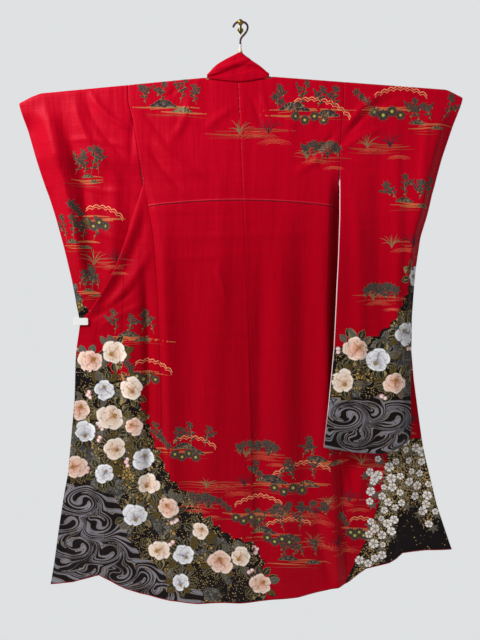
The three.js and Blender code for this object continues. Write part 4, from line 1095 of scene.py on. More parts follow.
def petal(figures, x, z, turn, length, spread, tint, layer, notch=0.0, scallops=0.03, levels=PETAL_LEVELS,
          columns=9, cup=0.0):
    """One petal from its root: dark at the root, pale at the rim, a line round it; a cupped one has one
    half in shade."""
    root, face, pale, line = tint
    s = np.linspace(-1, 1, columns)
    reach = length * (0.6 + 0.4 * np.sqrt(np.maximum(0, 1 - (0.96 * s) ** 2)))
    reach = reach * (1 + scallops * np.cos(s * 7.5 + cup * 9) - notch * np.exp(-(s / 0.2) ** 2))
    t = np.array(levels)
    angle = -s * spread * (0.55 + 0.45 * t[:, None])
    radius = reach * t[:, None]
    points = np.stack([radius * np.cos(angle), radius * np.sin(angle)], axis=-1)
    colours = np.zeros((len(t), columns, 4))
    for r, level in enumerate(t):
        for c, across in enumerate(s):
            inner, outer = shade(root, face, min(1, level * 1.7)), shade(face, pale, (level - 0.6) * 2.8)
            colour = inner if level < 0.6 else outer
            colour = shade(colour, root, max(0, cup * across) * 0.5)
            rim = 0.8 * max(0, abs(across) - 0.8) / 0.2 + (0.75 if level == 1 else 0)
            colours[r, c] = shade(colour, line, min(0.85, rim))
    figures.grid(turned(points, x, z, turn), colours, layer)


def disc(figures, x, z, radius, colour, layer, corners=7, middle=None):
    """A round spot, which may have a middle of another colour."""
    angle = np.arange(corners) * 2 * math.pi / corners
    ring = np.stack([x + radius * np.cos(angle), z + radius * np.sin(angle)], axis=-1)
    faces = [(0, i + 1, (i + 1) % corners + 1) for i in range(corners)]
    colours = np.array([middle or colour] + [colour] * corners)
    figures.add(np.concatenate([[(x, z)], ring]), colours, faces, layer)


def stroke(figures, points, width, colour, layer, taper=True):
    """A painted line through the points, thinning towards its ends."""
    points = np.asarray(points, float)
    run = np.gradient(points, axis=0)
    run = run / np.maximum(np.linalg.norm(run, axis=1, keepdims=True), 1e-9)
    off = np.stack([-run[:, 1], run[:, 0]], axis=-1)
    share = np.linspace(0, 1, len(points))
    thinning = np.sin(math.pi * np.clip(share, 0.06, 0.94)) ** 0.6
    half = width / 2 * (thinning if taper else np.ones(len(points)))
    grid = np.stack([points + off * half[:, None], points - off * half[:, None]], axis=1)
    figures.grid(grid[:, ::-1], np.broadcast_to(np.array(colour), (len(points), 2, 4)), layer)


def curve_points(x, z, turn, length, bow, count=8):
    """Points along a bowed line that starts at x, z."""
    t = np.linspace(0, 1, count)
    return turned(np.stack([length * t, bow * 4 * t * (1 - t)], axis=-1), x, z, turn)


def leaf(figures, x, z, turn, length, width, fill, line, layer, veined=False):
    """A pointed leaf: its outline, its fill, a midrib and, on a large one, veins."""
    t = np.linspace(0, 1, 7)
    rim = 1.1 if veined else 0.45
    for grown, colour, lift in ((rim, line, 0), (0, fill, 0.5)):
        half = (width / 2) * np.sin(math.pi * t ** 0.85) ** 0.8 + grown * (0.3 + 0.7 * np.sin(math.pi * t))
        along = length * t + (t - 0.5) * grown * 1.6
        grid = np.stack([np.stack([along, h * half], axis=-1) for h in (-1, 0, 1)], axis=1)
        colours = np.broadcast_to(np.array(colour), grid.shape[:2] + (4,)).copy()
        figures.grid(turned(grid, x, z, turn), colours, layer + lift)
    rib = turned(np.stack([length * t[:6], 0 * t[:6]], axis=-1), x, z, turn)
    stroke(figures, rib, 1.2 * rim, line, layer + 0.8)
    if veined:
        for at in (0.3, 0.5, 0.7):
            root = turned(np.array([length * at, 0]), x, z, turn)
            for way in (-0.85, 0.85):
                stroke(figures, curve_points(*root, turn + way, width * 0.36, 0.6, 3), 0.9, line, layer + 0.8)


def flower(figures, x, z, radius, tint, turn, layer, dice):
    """A full-blown flower of the camellia kind, half turned to its side: a loose outer ring, a cupped
    inner ring that leans the way it opens, and gold stamens."""
    lean = np.array([math.cos(turn), math.sin(turn)]) * radius
    for ring, (count, reach, opening) in enumerate(((5, 1.0, 0.8), (5, 0.74, 0.72), (4, 0.5, 0.85))):
        at_x, at_z = (x, z) + lean * 0.12 * ring
        for i in range(count):
            way = turn + ring * 0.55 + i * 2 * math.pi / count + dice.uniform(-0.14, 0.14)
            facing = math.cos(way - turn)
            long = radius * reach * dice.uniform(0.86, 1.12) * (1 - 0.16 * facing * (ring + 0.4))
            deep = [shade(tint[0], tint[3], 0.25 * (ring == 1)), shade(tint[1], tint[0], 0.12 * ring),
                    shade(tint[2], tint[1], 0.25 * ring + 0.15 * (facing > 0.4)), tint[3]]
            petal(figures, at_x, at_z, way, long, opening * dice.uniform(0.85, 1.15), deep,
                  layer + ring * 2 + (i % 2) * 0.8, scallops=dice.uniform(0.01, 0.05),
                  cup=dice.uniform(-1, 1) * (0.5 + 0.3 * ring))
    mid_x, mid_z = (x, z) + lean * 0.3
    disc(figures, mid_x, mid_z, radius * 0.17, shade(tint[3], POLLEN, 0.4), layer + 6)
    for i in range(11):
        way = i * 2.4
        far = radius * 0.16 * math.sqrt(i / 11 + 0.1)
        disc(figures, mid_x + far * math.cos(way), mid_z + far * math.sin(way), radius * 0.04,
             shade(POLLEN, GOLD, i % 2), layer + 6.6, corners=5)


# three large leaves in five are dark with gold veins
LEAF_CHOICE = [(LEAF_DARK, LEAF_LINE)] * 3 + [(LEAF_OLIVE, TWIG), (LEAF_GREY, TWIG_LINE)]


def sprig_of_leaves(figures, x, z, radius, turn, layer, dice, count=11):
    """Large leaves that look out from under a flower all round it."""
    for i in range(count):
        way = turn + i * 2 * math.pi / count + dice.uniform(-0.4, 0.4)
        far = radius * dice.uniform(0.6, 0.98)
        fill, line = dice.choice(LEAF_CHOICE)
        leaf(figures, x + far * math.cos(way), z + far * math.sin(way), way + dice.uniform(-0.5, 0.5),
             dice.uniform(27, 40), dice.uniform(17, 24), fill, line, layer + i % 3, veined=True)


def buds(figures, x, z, turn, layer, dice, count=3):
    """Round buds on short stalks, each in a dark calyx."""
    for i in range(count):
        way = turn + (i - (count - 1) / 2) * 0.8
        far = dice.uniform(9, 17)
        at_x, at_z = x + far * math.cos(way), z + far * math.sin(way)
        stroke(figures, [(x, z), (at_x, at_z)], 1.5, LEAF_OLIVE, layer)
        disc(figures, at_x - 3 * math.cos(way), at_z - 3 * math.sin(way), 4.2, LEAF_DARK, layer + 1)
        disc(figures, at_x, at_z, dice.uniform(6.5, 8.5), BUD_SHADE, layer + 1.6, corners=9, middle=BUD)
        disc(figures, at_x + 1.6 * math.cos(way), at_z + 1.6 * math.sin(way), 5, BUD, layer + 2.2, corners=8)


def blossom(figures, x, z, radius, turn, layer):
    """A cherry blossom: five notched petals and a few stamens."""
    for i in range(5):
        petal(figures, x, z, turn + i * 2 * math.pi / 5, radius, 0.6, BLOSSOM, layer + (i % 2) * 0.5,
              notch=0.14, scallops=0, levels=BLOSSOM_LEVELS, columns=7, cup=0.3)
    disc(figures, x, z, radius * 0.15, linear("#7A6355"), layer + 2, corners=5)
    for i in range(5):
        way = turn + 0.6 + i * 2 * math.pi / 5
        stroke(figures, curve_points(x, z, way, radius * 0.4, 0.5, 3), 0.8, linear("#8C7A74"), layer + 1.5)


def star_leaf(figures, x, z, size, turn, layer, fill=TWIG):
    """A small maple-like leaf: dark lobes, each with a gold vein."""
    for i in range(6):
        way = turn + i * 2 * math.pi / 6
        leaf(figures, x, z, way, size, size * 0.34, fill, TWIG_LINE, layer)


def aster(figures, x, z, size, turn, layer):
    """A chrysanthemum: narrow dark petals round an olive and gold eye."""
    for i in range(11):
        leaf(figures, x, z, turn + i * 2 * math.pi / 11, size, size * 0.36, TWIG, TWIG_LINE, layer)
    disc(figures, x, z, size * 0.42, linear("#5A561E"), layer + 1.2)
    disc(figures, x, z, size * 0.24, linear("#C2B65A"), layer + 1.7)


def fan_bough(figures, x, z, width, layer):
    """A pine bough as dark humps in gold outline, each filled with needles like a fan."""
    for dx, dz, share in ((-0.3, 0, 0.3), (0.3, -0.04, 0.32), (0, 0.1, 0.4)):
        reach = width * share
        angle = np.linspace(0, math.pi, 9)
        for grown, colour, lift in ((1.5, TWIG_LINE, 0), (0, TWIG, 0.4)):
            radius = reach * (1 + 0.06 * np.abs(np.sin(angle * 4))) + grown
            rim = np.stack([radius * np.cos(angle), radius * 0.5 * np.sin(angle) - grown * 0.3], axis=-1)
            base = np.stack([rim[:, 0] * 0.6, np.full(9, -grown)], axis=-1)
            grid = turned(np.stack([rim, base], axis=0), x + dx * width, z + dz * width, 0)
            figures.grid(grid, np.broadcast_to(np.array(colour), (2, 9, 4)), layer + lift)
        for i in range(7):
            way = math.pi * (0.1 + 0.133 * i)
            stroke(figures, curve_points(x + dx * width, z + dz * width + 1, way, reach * 0.55, 0, 3), 0.9,
                   TWIG_LINE, layer + 0.8)


def mist(figures, x, z, length, dice, strong=True):
    """A band of mist: long stripes that taper at both ends, the upper three the widest."""
    for i in range(5):
        run = length * dice.uniform(0.5, 1.0)
        start = x - run / 2 + dice.uniform(-0.25, 0.25) * length
        colour = MIST if strong and i < 3 else MIST_DEEP
        stroke(figures, curve_points(start, z - i * 6.5, dice.uniform(-0.05, 0.03), run,
                                     dice.uniform(-5, 5), 14),
               dice.uniform(3, 6.5) if i < 3 else 1.8, colour, i * 0.4)


def scalloped_line(figures, x, z, length, turn, bow, layer):
    """Two lines side by side, each a run of small arches, that follow one long arch."""
    arches_in = max(3, round(length / 20))
    t = np.linspace(0, 1, arches_in * 8 + 1)
    for shift, wide in ((0, 2.4), (-7.5, 1.6)):
        arches = 6.5 * np.abs(np.sin(math.pi * arches_in * t)) + bow * 4 * t * (1 - t) + shift
        stroke(figures, turned(np.stack([length * t, arches], axis=-1), x, z, turn), wide, EMBER, layer,
               taper=False)


def wave_lines(figures, x, z, radius, layer, count=4):
    """Low arcs one inside another, like waves or far hills."""
    for i in range(count):
        angle = np.linspace(0.1 * math.pi, 0.9 * math.pi, 14)
        reach = radius * (1 - 0.16 * i)
        points = np.stack([x + reach * np.cos(angle), z + reach * 0.42 * np.sin(angle)], axis=-1)
        stroke(figures, points, 1.3, CORAL, layer)


def grass(figures, x, z, size, colour, layer, dice):
    """A tuft of grass: nine blades that fan out and bend away from the middle one."""
    for i in range(9):
        way = math.pi * (0.16 + 0.68 * i / 8) + dice.uniform(-0.1, 0.1)
        stroke(figures, curve_points(x, z, way, size * dice.uniform(0.7, 1.15), (i - 4) * -2.4), 1.7, colour,
               layer)


def twig(figures, x, z, size, turn, layer, dice, leafing=(11, 17)):
    """A rising branch, forked once, with clusters of small leaves and gold-eyed berries."""
    stem = curve_points(x, z, turn, size, dice.uniform(-8, 8))
    fork = curve_points(*stem[3], turn + dice.choice((-0.8, 0.8)), size * 0.5, 3)
    for line in (stem, fork):
        stroke(figures, line, 1.4, TWIG_LINE, layer)
        for i, (at_x, at_z) in enumerate(line[2:]):
            way = turn + (0.9 if i % 2 else -0.9) + dice.uniform(-0.3, 0.3)
            leaf(figures, at_x, at_z, way, dice.uniform(*leafing), 5.5, TWIG, TWIG_LINE, layer + 0.5)
            if i % 3 == 0:
                disc(figures, at_x - 5 * math.cos(way), at_z - 5 * math.sin(way), 3.2, TWIG, layer + 0.6,
                     middle=GOLD)
    star_leaf(figures, *stem[-1], dice.uniform(10, 14), turn, layer + 0.7)


BOUGHS, ASTERS, BOTH, GRASSES, LINES = range(5)     # the kinds of group


def garden(figures, x, z, width, kind, dice):
    """One group of small figures on the red ground. Places across it and its long figures go with its
    width; heights and small figures stay the same."""
    mist(figures, x, z, width * 1.15, dice, strong=kind in (BOUGHS, ASTERS, BOTH))
    if kind in (BOUGHS, BOTH):  # boughs with twigs that rise behind them
        for i in range(4):
            twig(figures, x + width * (-0.42 + 0.27 * i), z + 8, dice.uniform(48, 78),
                 math.pi * dice.uniform(0.32, 0.68), 2, dice)
        fan_bough(figures, x + width * dice.uniform(-0.25, 0.0), z + 2, width * 0.34, 3)
        fan_bough(figures, x + width * dice.uniform(0.15, 0.35), z - 14, width * 0.26, 3)
    if kind in (ASTERS, BOTH):  # asters under a scalloped line
        for i in range(4):
            aster(figures, x + width * (-0.18 + 0.13 * i), z - 16 - 11 * (i % 2), dice.uniform(15, 19), i, 4)
        for i in range(3):
            star_leaf(figures, x - width * (0.3 + 0.08 * i), z + 12 + 14 * i, dice.uniform(12, 16), i, 3)
        scalloped_line(figures, x - width * 0.2, z + 26, width * 0.8, dice.uniform(-0.3, 0.1),
                       width * 0.12, 2)
    if kind in (GRASSES, LINES):  # grasses and waves
        grass(figures, x + width * dice.uniform(-0.4, -0.2), z - 18, dice.uniform(36, 56), TWIG_LINE, 2, dice)
        grass(figures, x + width * dice.uniform(0.1, 0.4), z - 14, dice.uniform(34, 52), TWIG, 2, dice)
        wave_lines(figures, x + width * dice.uniform(-0.2, 0.2), z - 36, width * 0.34, 1)
        wave_lines(figures, x + width * dice.uniform(0.2, 0.4), z - 52, width * 0.26, 1)
    if kind == GRASSES:
        for i in range(5):
            star_leaf(figures, x + width * (-0.4 + 0.19 * i), z + 16 + 13 * (i % 2), 14, i, 3)
            twig(figures, x + width * (-0.4 + 0.19 * i), z - 12, 40, 1.3 + 0.15 * i, 2, dice, (9, 13))


def outer_faces(pieces):
    """Points and faces of the outer layers of several pieces together."""
    vertices, quads, start = [], [], 0
    for piece in pieces:
        points, faces = SHOWN_FACES[piece]
        vertices.append(points)
        quads.append(faces + start)
        start += len(points)
    return np.concatenate(vertices), np.concatenate(quads)


DYE_LIFT, LAYER_STEP = 0.30, 0.05   # height of the lowest layer of dye over the silk, and of each one more
FROM_AFAR = 400             # the figures are cast on the silk from this far out
LEAST_FACING = 0.35         # silk that faces the caster less than this takes no dye
GREATEST_STEP = 8           # a face that would bend deeper than this over a fold is left out


def lay(name, figures, pieces, towards=-1):
    """Lays the figures on the outer faces of the named pieces, from the viewer's side or the wall's."""
    vertices, quads = outer_faces(pieces)
    tree = BVHTree.FromPolygons(vertices.tolist(), quads.tolist())
    flat = np.concatenate(figures.points)
    layers = np.concatenate(figures.layers)
    colours = np.concatenate(figures.colours)
    laid = np.full((len(flat), 3), np.nan)
    way = Vector((0, -towards, 0))
    for i, ((x, z), layer) in enumerate(zip(flat, layers)):
        hit, normal, _, _ = tree.ray_cast(Vector((x, FROM_AFAR * towards, z)), way)
        if hit and normal.y * towards > LEAST_FACING:
            laid[i] = hit + normal * (DYE_LIFT + LAYER_STEP * layer)
    kept = []
    for face in figures.faces:
        depth = laid[list(face), 1]
        if not np.isnan(depth).any() and depth.max() - depth.min() < GREATEST_STEP:
            kept.append(face if towards < 0 else face[::-1])
    used = np.unique(np.concatenate([np.array(face) for face in kept]))
    place = np.full(len(flat), -1)
    place[used] = np.arange(len(used))
    faces = [tuple(int(place[corner]) for corner in face) for face in kept]
    piece = mesh_object(name, to_metres(laid[used]), faces, [MOTIF_DYE])
    dye = piece.data.color_attributes.new("dye", "FLOAT_COLOR", "POINT")
    dye.data.foreach_set("color", colours[used].astype(np.float32).ravel())
    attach(piece, "root")


def rolled_edge(figures, points, width, proud, above, below):
    """The rolled edge of a fold: a narrow ridge of cloth, a painted highlight in lighter red on its top and a
    painted shadow in dark red underneath.
    """
    points = np.asarray(points, float)
    grid = np.stack([points + (0, width * share) for share in (-0.45, -0.2, 0.2, 0.5)], axis=1)
    colours = np.broadcast_to(np.array([below, below, above, above]), (len(points), 4, 4))
    layers = np.broadcast_to(np.array([0, 0.8, 1, 0]) * proud / LAYER_STEP, grid.shape[:2])
    figures.grid(grid, colours, layers.reshape(-1))


BODY = ["back_left", "back_right", "front_left", "front_right", "okumi_left", "okumi_right", "collar_left",
        "collar_right"]
SLEEVES = ["sleeve_left", "sleeve_right"]
FRONT_FACES = ["front_left", "front_right", "okumi_left", "okumi_right", "collar_left", "collar_right"]

BODY_FLOWERS = table("x z radius turn",
    (-470, -1006, 37, 0.4), (-396, -982, 39, 3.5), (-428, -1100, 34, 1.8), (-346, -1096, 36, 5.2),
    (-512, -1164, 36, 1.0), (-412, -1186, 43, 0.2), (-494, -1240, 36, 4.4), (-340, -1216, 31, 2.5),
    (-404, -1290, 36, 5.8), (-528, -1352, 36, 3.0), (-310, -1326, 37, 1.4), (-296, -1412, 37, 3.8),
    (-438, -1372, 32, 0.7), (-342, -1516, 40, 4.9), (-232, -1486, 36, 2.1), (-262, -1632, 39, 3.3),
    (-184, -1646, 35, 5.7), (-66, -1668, 40, 1.7), (0, -1650, 34, 4.0), (-128, -1560, 30, 1.0),
    (66, -1742, 36, 0.4), (-196, -1738, 30, 4.7))
FLOWER_TINTS = "pcwcpcwpcpwcwwpcwpccpw"
SLEEVE_FLOWERS = table("x z radius turn",
    (356, -964, 40, 0.5), (424, -1000, 40, 4.0), (508, -916, 38, 2.2), (318, -1066, 37, 5.2),
    (476, -1070, 37, 1.2), (540, -742, 34, 3.1))
SLEEVE_TINTS = "pwwcpw"
GROUPS = table("x z width kind",
    (-205, -236, 190, BOUGHS), (60, -300, 210, LINES), (205, -246, 220, BOTH), (440, -232, 200, ASTERS),
    (560, -286, 110, BOUGHS), (250, -372, 130, GRASSES), (430, -342, 150, LINES), (520, -520, 120, BOUGHS),
    (505, -640, 130, LINES), (430, -800, 120, GRASSES), (-470, -440, 90, BOUGHS),
    (-450, -560, 150, ASTERS), (-500, -640, 100, BOUGHS), (-415, -690, 120, LINES),
    (-474, -790, 70, BOUGHS), (-330, -930, 150, BOUGHS), (-300, -1040, 150, ASTERS),
    (-178, -1290, 170, BOTH), (-60, -1400, 200, LINES), (60, -1300, 150, GRASSES),
    (150, -1400, 230, BOTH), (262, -1330, 150, BOUGHS), (20, -1500, 190, ASTERS),
    (200, -1500, 220, GRASSES), (330, -1460, 160, LINES), (120, -1570, 180, BOTH),
    (290, -1600, 200, LINES), (190, -1660, 150, BOUGHS), (380, -1560, 110, ASTERS),
    (-130, -1470, 120, GRASSES), (420, -1330, 110, LINES), (520, -1200, 90, LINES))
WALL_GROUPS = table("x z width kind",
    (170, -250, 170, BOUGHS), (210, -430, 150, ASTERS), (440, -250, 190, BOTH), (500, -430, 150, GRASSES),
    (420, -620, 160, BOUGHS), (440, -800, 150, LINES), (330, -760, 120, ASTERS))


def flowering_field(flowers, places, tints, dice, mirrored=1):
    """Leaves first and the flowers over them, with buds beside every second flower."""
    spots = [(x * mirrored, z, radius, turn) for x, z, radius, turn in zip(*places.values())]
    for i, (x, z, radius, turn) in enumerate(spots):
        sprig_of_leaves(flowers, x, z, radius, turn, (i % 3) * 1.5, dice)
    for i, (x, z, radius, turn) in enumerate(spots):
        flower(flowers, x, z, radius, TINTS[tints[i]], turn, 9 + (i % 4) * 1.6, dice)
        if i % 2 == 0:
            away = turn + dice.uniform(1.6, 3.0)
            buds(flowers, x + 44 * math.cos(away), z + 40 * math.sin(away), away, 8, dice, 2 + i % 4 // 2)


# ---- the figures, laid on the silk ----
dice = random.Random(7)
flowers = Figures()
flowering_field(flowers, BODY_FLOWERS, FLOWER_TINTS, dice)
lay("dyed_flowers", flowers, BODY)

sleeve_flowers = Figures()
flowering_field(sleeve_flowers, SLEEVE_FLOWERS, SLEEVE_TINTS, dice)
lay("dyed_flowers_sleeve", sleeve_flowers, ["sleeve_right"])

wall_flowers = Figures()
for mirrored in (1, -1):
    flowering_field(wall_flowers, SLEEVE_FLOWERS, SLEEVE_TINTS, dice, mirrored)
lay("dyed_flowers_wall_side", wall_flowers, SLEEVES, towards=1)

BLOSSOMS, BLOSSOMS_APART = 58, 25       # how many are strewn, and no two of them nearer than this
blossoms = Figures()
taken = []
while len(taken) < BLOSSOMS:
    x, z = dice.uniform(340, 660), dice.uniform(-1720, -1262)
    depth = float(inside(OVERLAP_FLOWERING, np.array([x]), np.array([z]))[0])
    if depth < -4 or dice.random() > 0.3 + depth / 55:
        continue
    if all(math.hypot(x - other_x, z - other_z) > BLOSSOMS_APART for other_x, other_z in taken):
        taken.append((x, z))
taken += [(432, -1404), (446, -1386), (418, -1372)]  # and a few stray on the red
for i, (x, z) in enumerate(taken):
    star_leaf(blossoms, x + dice.uniform(-18, 18), z - 12, dice.uniform(14, 20), dice.uniform(0, 3), 0,
              fill=LEAF_GREY)
    blossom(blossoms, x, z, dice.uniform(10, 17.5), dice.uniform(0, 6), 5 + i % 3 * 2.4)
lay("dyed_blossoms", blossoms, ["front_right", "okumi_right", "back_right"])

LOW_FROM = -900             # the groups below this height are a piece of their own
upper, lower = Figures(), Figures()
for x, z, width, kind in zip(*GROUPS.values()):
    garden(upper if z > LOW_FROM else lower, x, z, width, kind, dice)
lay("dyed_small_figures", upper, BODY + SLEEVES)
lay("dyed_small_figures_low", lower, BODY)

tuck = Figures()
tuck_run = np.linspace(-288, 296, 90)
# painted highlight and painted shadow: a lighter red on the tuck edge's top and a dark red under it, on a
# ridge that stands 2.2 mm proud
rolled_edge(tuck, np.stack([tuck_run, tuck_height(tuck_run)], axis=1), width=6.5, proud=2.2,
            above=linear("#D4182F"), below=linear("#7C0014"))
lay("waist_tuck_edge", tuck, ["back_left", "back_right"])

wall_small = Figures()
for mirrored in (-1, 1):
    for x, z, width, kind in zip(*WALL_GROUPS.values()):
        garden(wall_small, mirrored * x, z, width, kind, dice)
lay("dyed_small_figures_wall_side", wall_small, FRONT_FACES + SLEEVES, towards=1)


# ---- gold leaf strewn on the black ground ----
def strewn_leaf(source, material, name, seed):
    """Small squares of gold leaf strewn over a surface where its leafing field is high."""
    tree = bpy.data.node_groups.new(name, "GeometryNodeTree")
    sizes = {"Cloth": "NodeSocketGeometry", "Pieces per square metre": "NodeSocketFloat",
             "Smallest": "NodeSocketFloat", "Largest": "NodeSocketFloat", "Lift": "NodeSocketFloat"}
    for label, kind in sizes.items():
        tree.interface.new_socket(label, in_out="INPUT", socket_type=kind)
    tree.interface.new_socket("Leaf", in_out="OUTPUT", socket_type="NodeSocketGeometry")
    given = node(tree, "NodeGroupInput").outputs
    leafing = node(tree, "GeometryNodeInputNamedAttribute", {"Name": "leafing"}, out=0, data_type="FLOAT")
    density = node(tree, MATH, {0: leafing, 1: given["Pieces per square metre"]}, out=0,
                   operation="MULTIPLY")
    strewn = node(tree, "GeometryNodeDistributePointsOnFaces",
                  {"Mesh": given["Cloth"], "Density": density, "Seed": seed})
    up = node(tree, VECTOR, {0: strewn.outputs["Normal"], "Scale": given["Lift"]}, out=0, operation="SCALE")
    lifted = node(tree, "GeometryNodeSetPosition", {"Geometry": strewn.outputs["Points"], "Offset": up},
                  out=0)
    square = node(tree, "GeometryNodeMeshGrid",
                  {"Size X": 1.0, "Size Y": 1.0, "Vertices X": 2, "Vertices Y": 2}, out="Mesh")
    size = node(tree, "FunctionNodeRandomValue",
                {"Min": given["Smallest"], "Max": given["Largest"], "Seed": seed}, out="Value",
                data_type="FLOAT")
    placed = node(tree, "GeometryNodeInstanceOnPoints",
                  {"Points": lifted, "Instance": square, "Rotation": strewn.outputs["Rotation"],
                   "Scale": size}, out=0)
    spin = node(tree, "FunctionNodeRandomValue", {"Max": 6.28, "Seed": seed + 1}, out="Value",
                data_type="FLOAT")
    turn = node(tree, "ShaderNodeCombineXYZ", {"Z": spin}, out=0)
    turned_round = node(tree, "GeometryNodeRotateInstances",
                        {"Instances": placed, "Rotation": turn, "Local Space": True}, out=0)
    real = node(tree, "GeometryNodeRealizeInstances", {"Geometry": turned_round}, out=0)
    painted = node(tree, "GeometryNodeSetMaterial", {"Geometry": real, "Material": material}, out=0)
    node(tree, "NodeGroupOutput", {"Leaf": painted})
    strewing = source.modifiers.new("strewn_leaf", "NODES")
    strewing.node_group = tree
    for label, value in (("Pieces per square metre", 21000.0), ("Smallest", 0.0012), ("Largest", 0.0042),
                         ("Lift", 0.00055)):
        strewing[tree.interface.items_tree[label].identifier] = value
    evaluated = source.evaluated_get(bpy.context.evaluated_depsgraph_get())
    mesh = bpy.data.meshes.new_from_object(evaluated)
    source.modifiers.remove(strewing)
    bpy.data.objects.remove(source)
    piece = linked(name, mesh)
    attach(piece, "root")


def leafed_ground(pieces, field):
    """A bare copy of the pieces' outer faces, with how thickly gold leaf lies at each point."""
    vertices, quads = outer_faces(pieces)
    thick = field(vertices[:, 0], vertices[:, 2])
    wanted = (thick[quads] > 0).any(axis=1)
    used, quads = np.unique(quads[wanted], return_inverse=True)
    ground = mesh_object("leafed_ground", to_metres(vertices[used]), quads.reshape(-1, 4).tolist(), [])
    store(ground, "leafing", np.maximum(thick[used], 0))
    return ground


def overlap_leafing(x, z):
    """How thick the leaf lies on the right front: thickest among the blossoms."""
    within = inside(OVERLAP_FIELD, x, z)
    thick = np.clip(0.5 + inside(OVERLAP_FLOWERING, x, z) / 28, 0.03, 1.6)
    return np.where(within > 2, thick, 0)


def band_leafing(x, z):
    """How thick it lies on the left: a band just inside the edge of the black ground."""
    left = inside(BODY_FIELD, x, z, *CLOUD_BANK)
    return np.where((left > 1) & (left < 30) & (x < 100), 0.5, 0)


strewn_leaf(leafed_ground(["front_right", "okumi_right"], overlap_leafing), GOLD_LEAF, "gold_leaf_overlap", 3)
strewn_leaf(leafed_ground(["back_left", "back_right", "front_left"], band_leafing), GOLD_LEAF,
            "gold_leaf_hem", 5)


# ---- hanger, hook, peg and clip ----
def wood(name, dark, light):
    """Turned and lacquered wood: grain in long streaks, a soft gloss and rubbed ends."""
    material, tree, shader = new_material(name, 0.34, Coat_Weight=0.25, Coat_Roughness=0.2)
    place = node(tree, PLACE, out="Object")
    long = node(tree, STRETCH, {"Vector": place, "Scale": (6, 160, 160)}, out="Vector")
    grain = node(tree, NOISE, {"Vector": long, "Scale": 1, "Detail": 5}, out="Fac")
    tones = node(tree, MIX, {0: grain, 6: linear(dark), 7: linear(light)}, **RGBA)
    bump = node(tree, BUMP, {"Strength": 0.15, "Distance": 0.0005, "Height": grain}, out="Normal")
    feed(tree, shader, Base_Color=tones, Normal=bump)
    return material


def moulded_plastic(name, light, dark):
    """Injection-moulded plastic: even colour, a faint orange-peel surface and a little dust."""
    material, tree, shader = new_material(name, 0.36)
    place = node(tree, PLACE, out="Object")
    peel = node(tree, NOISE, {"Vector": place, "Scale": 900, "Detail": 1}, out="Fac")
    dust = node(tree, NOISE, {"Vector": place, "Scale": 70, "Detail": 4}, out="Fac")
    tones = node(tree, MIX, {0: dust, 6: linear(dark), 7: linear(light)}, **RGBA)
    bump = node(tree, BUMP, {"Strength": 0.08, "Distance": 0.0002, "Height": peel}, out="Normal")
    feed(tree, shader, Base_Color=tones, Normal=bump)
    return material


def worn_brass(name):
    """Cast brass, handled and tarnished: olive in its hollows, brighter where it is rubbed."""
    material, tree, shader = new_material(name, 0.3, metallic=1.0)
    place = node(tree, PLACE, out="Object")
    tarnish = node(tree, NOISE, {"Vector": place, "Scale": 180, "Detail": 5}, out="Fac")
    tones = node(tree, MIX, {0: tarnish, 6: linear("#6E5C28"), 7: linear("#B39A50")}, **RGBA)
    rough = node(tree, RANGE, {"Value": tarnish, "To Min": 0.5, "To Max": 0.24}, out=0)
    feed(tree, shader, Base_Color=tones, Roughness=rough)
    return material


def lacquered_wire(name):
    """Steel wire dipped in dark wine lacquer: glossy, with faint runs along it."""
    material, tree, shader = new_material(name, 0.22, Coat_Weight=0.5, Coat_Roughness=0.12)
    place = node(tree, PLACE, out="Object")
    runs = node(tree, NOISE, {"Vector": place, "Scale": 140, "Detail": 3}, out="Fac")
    tones = node(tree, MIX, {0: runs, 6: linear("#2E0E18"), 7: linear("#5E2232")}, **RGBA)
    bump = node(tree, BUMP, {"Strength": 0.1, "Distance": 0.0004, "Height": runs}, out="Normal")
    feed(tree, shader, Base_Color=tones, Normal=bump)
    return material


LACQUERED_WOOD = wood("lacquered_hanger_wood", "#8A6A40", "#C3A06C")
WHITE_PLASTIC = moulded_plastic("moulded_white_plastic", "#F4F3F0", "#E6E5E1")
CREAM_PLASTIC = moulded_plastic("moulded_cream_plastic", "#EBDDC0", "#DCCBA6")
BRASS = worn_brass("tarnished_brass")
HOOK_LACQUER = lacquered_wire("wine_lacquered_wire")


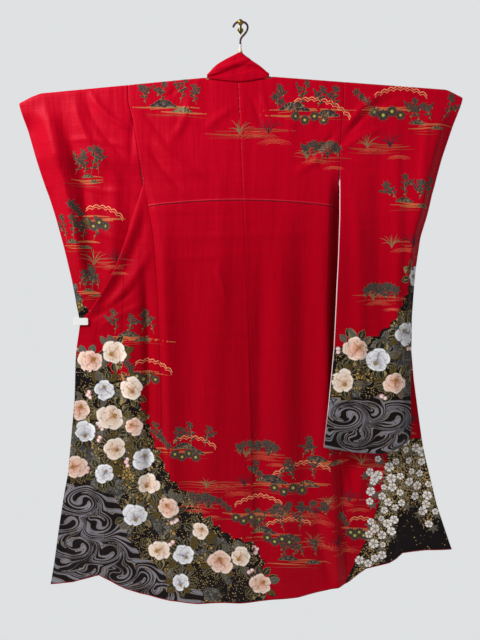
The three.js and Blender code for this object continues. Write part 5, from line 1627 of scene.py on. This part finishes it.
MADE_OF = {
    "hanger_hub": LACQUERED_WOOD, "hanger_arm_left": LACQUERED_WOOD, "hanger_arm_right": LACQUERED_WOOD,
    "hanger_neck": LACQUERED_WOOD, "hanger_cone": CREAM_PLASTIC, "hanger_bead": WHITE_PLASTIC,
    "hanger_hook": HOOK_LACQUER, "wall_plate": BRASS, "wall_peg": BRASS,
    "clip_front_jaw": WHITE_PLASTIC, "clip_back_jaw": WHITE_PLASTIC, "clip_spring": WHITE_PLASTIC,
}
for name, material in MADE_OF.items():
    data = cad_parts[name].data
    data.materials.clear()
    data.materials.append(material)

# ---- floor, light and world, in metres ----
FLOOR_Z, FLOOR_END = -2.05, 0.05        # the floor's height, and where it ends behind the kimono
PALE_PAINT, _, _ = new_material("pale_painted_floor", 0.7, Base_Color=linear("#E9ECEE"))
floor = mesh_object("floor", [(-6, -6, FLOOR_Z), (6, -6, FLOOR_Z), (6, FLOOR_END, FLOOR_Z),
                              (-6, FLOOR_END, FLOOR_Z)], [(0, 1, 2, 3)], [PALE_PAINT])

world = bpy.data.worlds.new("studio")
bpy.context.scene.world = world
world.use_nodes = True
sky = world.node_tree.nodes["Background"]
sky.inputs["Color"].default_value = linear("#E6EAED")
sky.inputs["Strength"].default_value = 0.3
seen = node(world.node_tree, "ShaderNodeBackground", {"Color": linear("#DFE1E3"), "Strength": 1.0}, out=0)
ray = node(world.node_tree, "ShaderNodeLightPath", out="Is Camera Ray")
both = node(world.node_tree, "ShaderNodeMixShader", {0: ray, 1: sky.outputs[0], 2: seen}, out=0)
world.node_tree.links.new(both, world.node_tree.nodes["World Output"].inputs["Surface"])


def soft_light(name, place, aim, size, watts):
    """A round lamp of this size that looks at the point it is aimed at."""
    light = bpy.data.lights.new(name, "AREA")
    light.shape = "DISK"
    light.size = size
    light.energy = watts
    lamp = linked(name, light)
    lamp.location = place
    lamp.rotation_euler = (Vector(aim) - Vector(place)).to_track_quat("-Z", "Y").to_euler()


soft_light("window_light", place=(-2.1, -1.5, 1.0), aim=(0, 0, -0.6), size=0.8, watts=96)
soft_light("fill_light", place=(1.7, -2.4, -0.4), aim=(0, 0, -1.0), size=2.0, watts=7)
soft_light("wall_side_light", place=(-0.9, 2.6, 0.5), aim=(0, 0, -0.9), size=1.6, watts=34)
bpy.context.scene.view_settings.view_transform = "Standard"
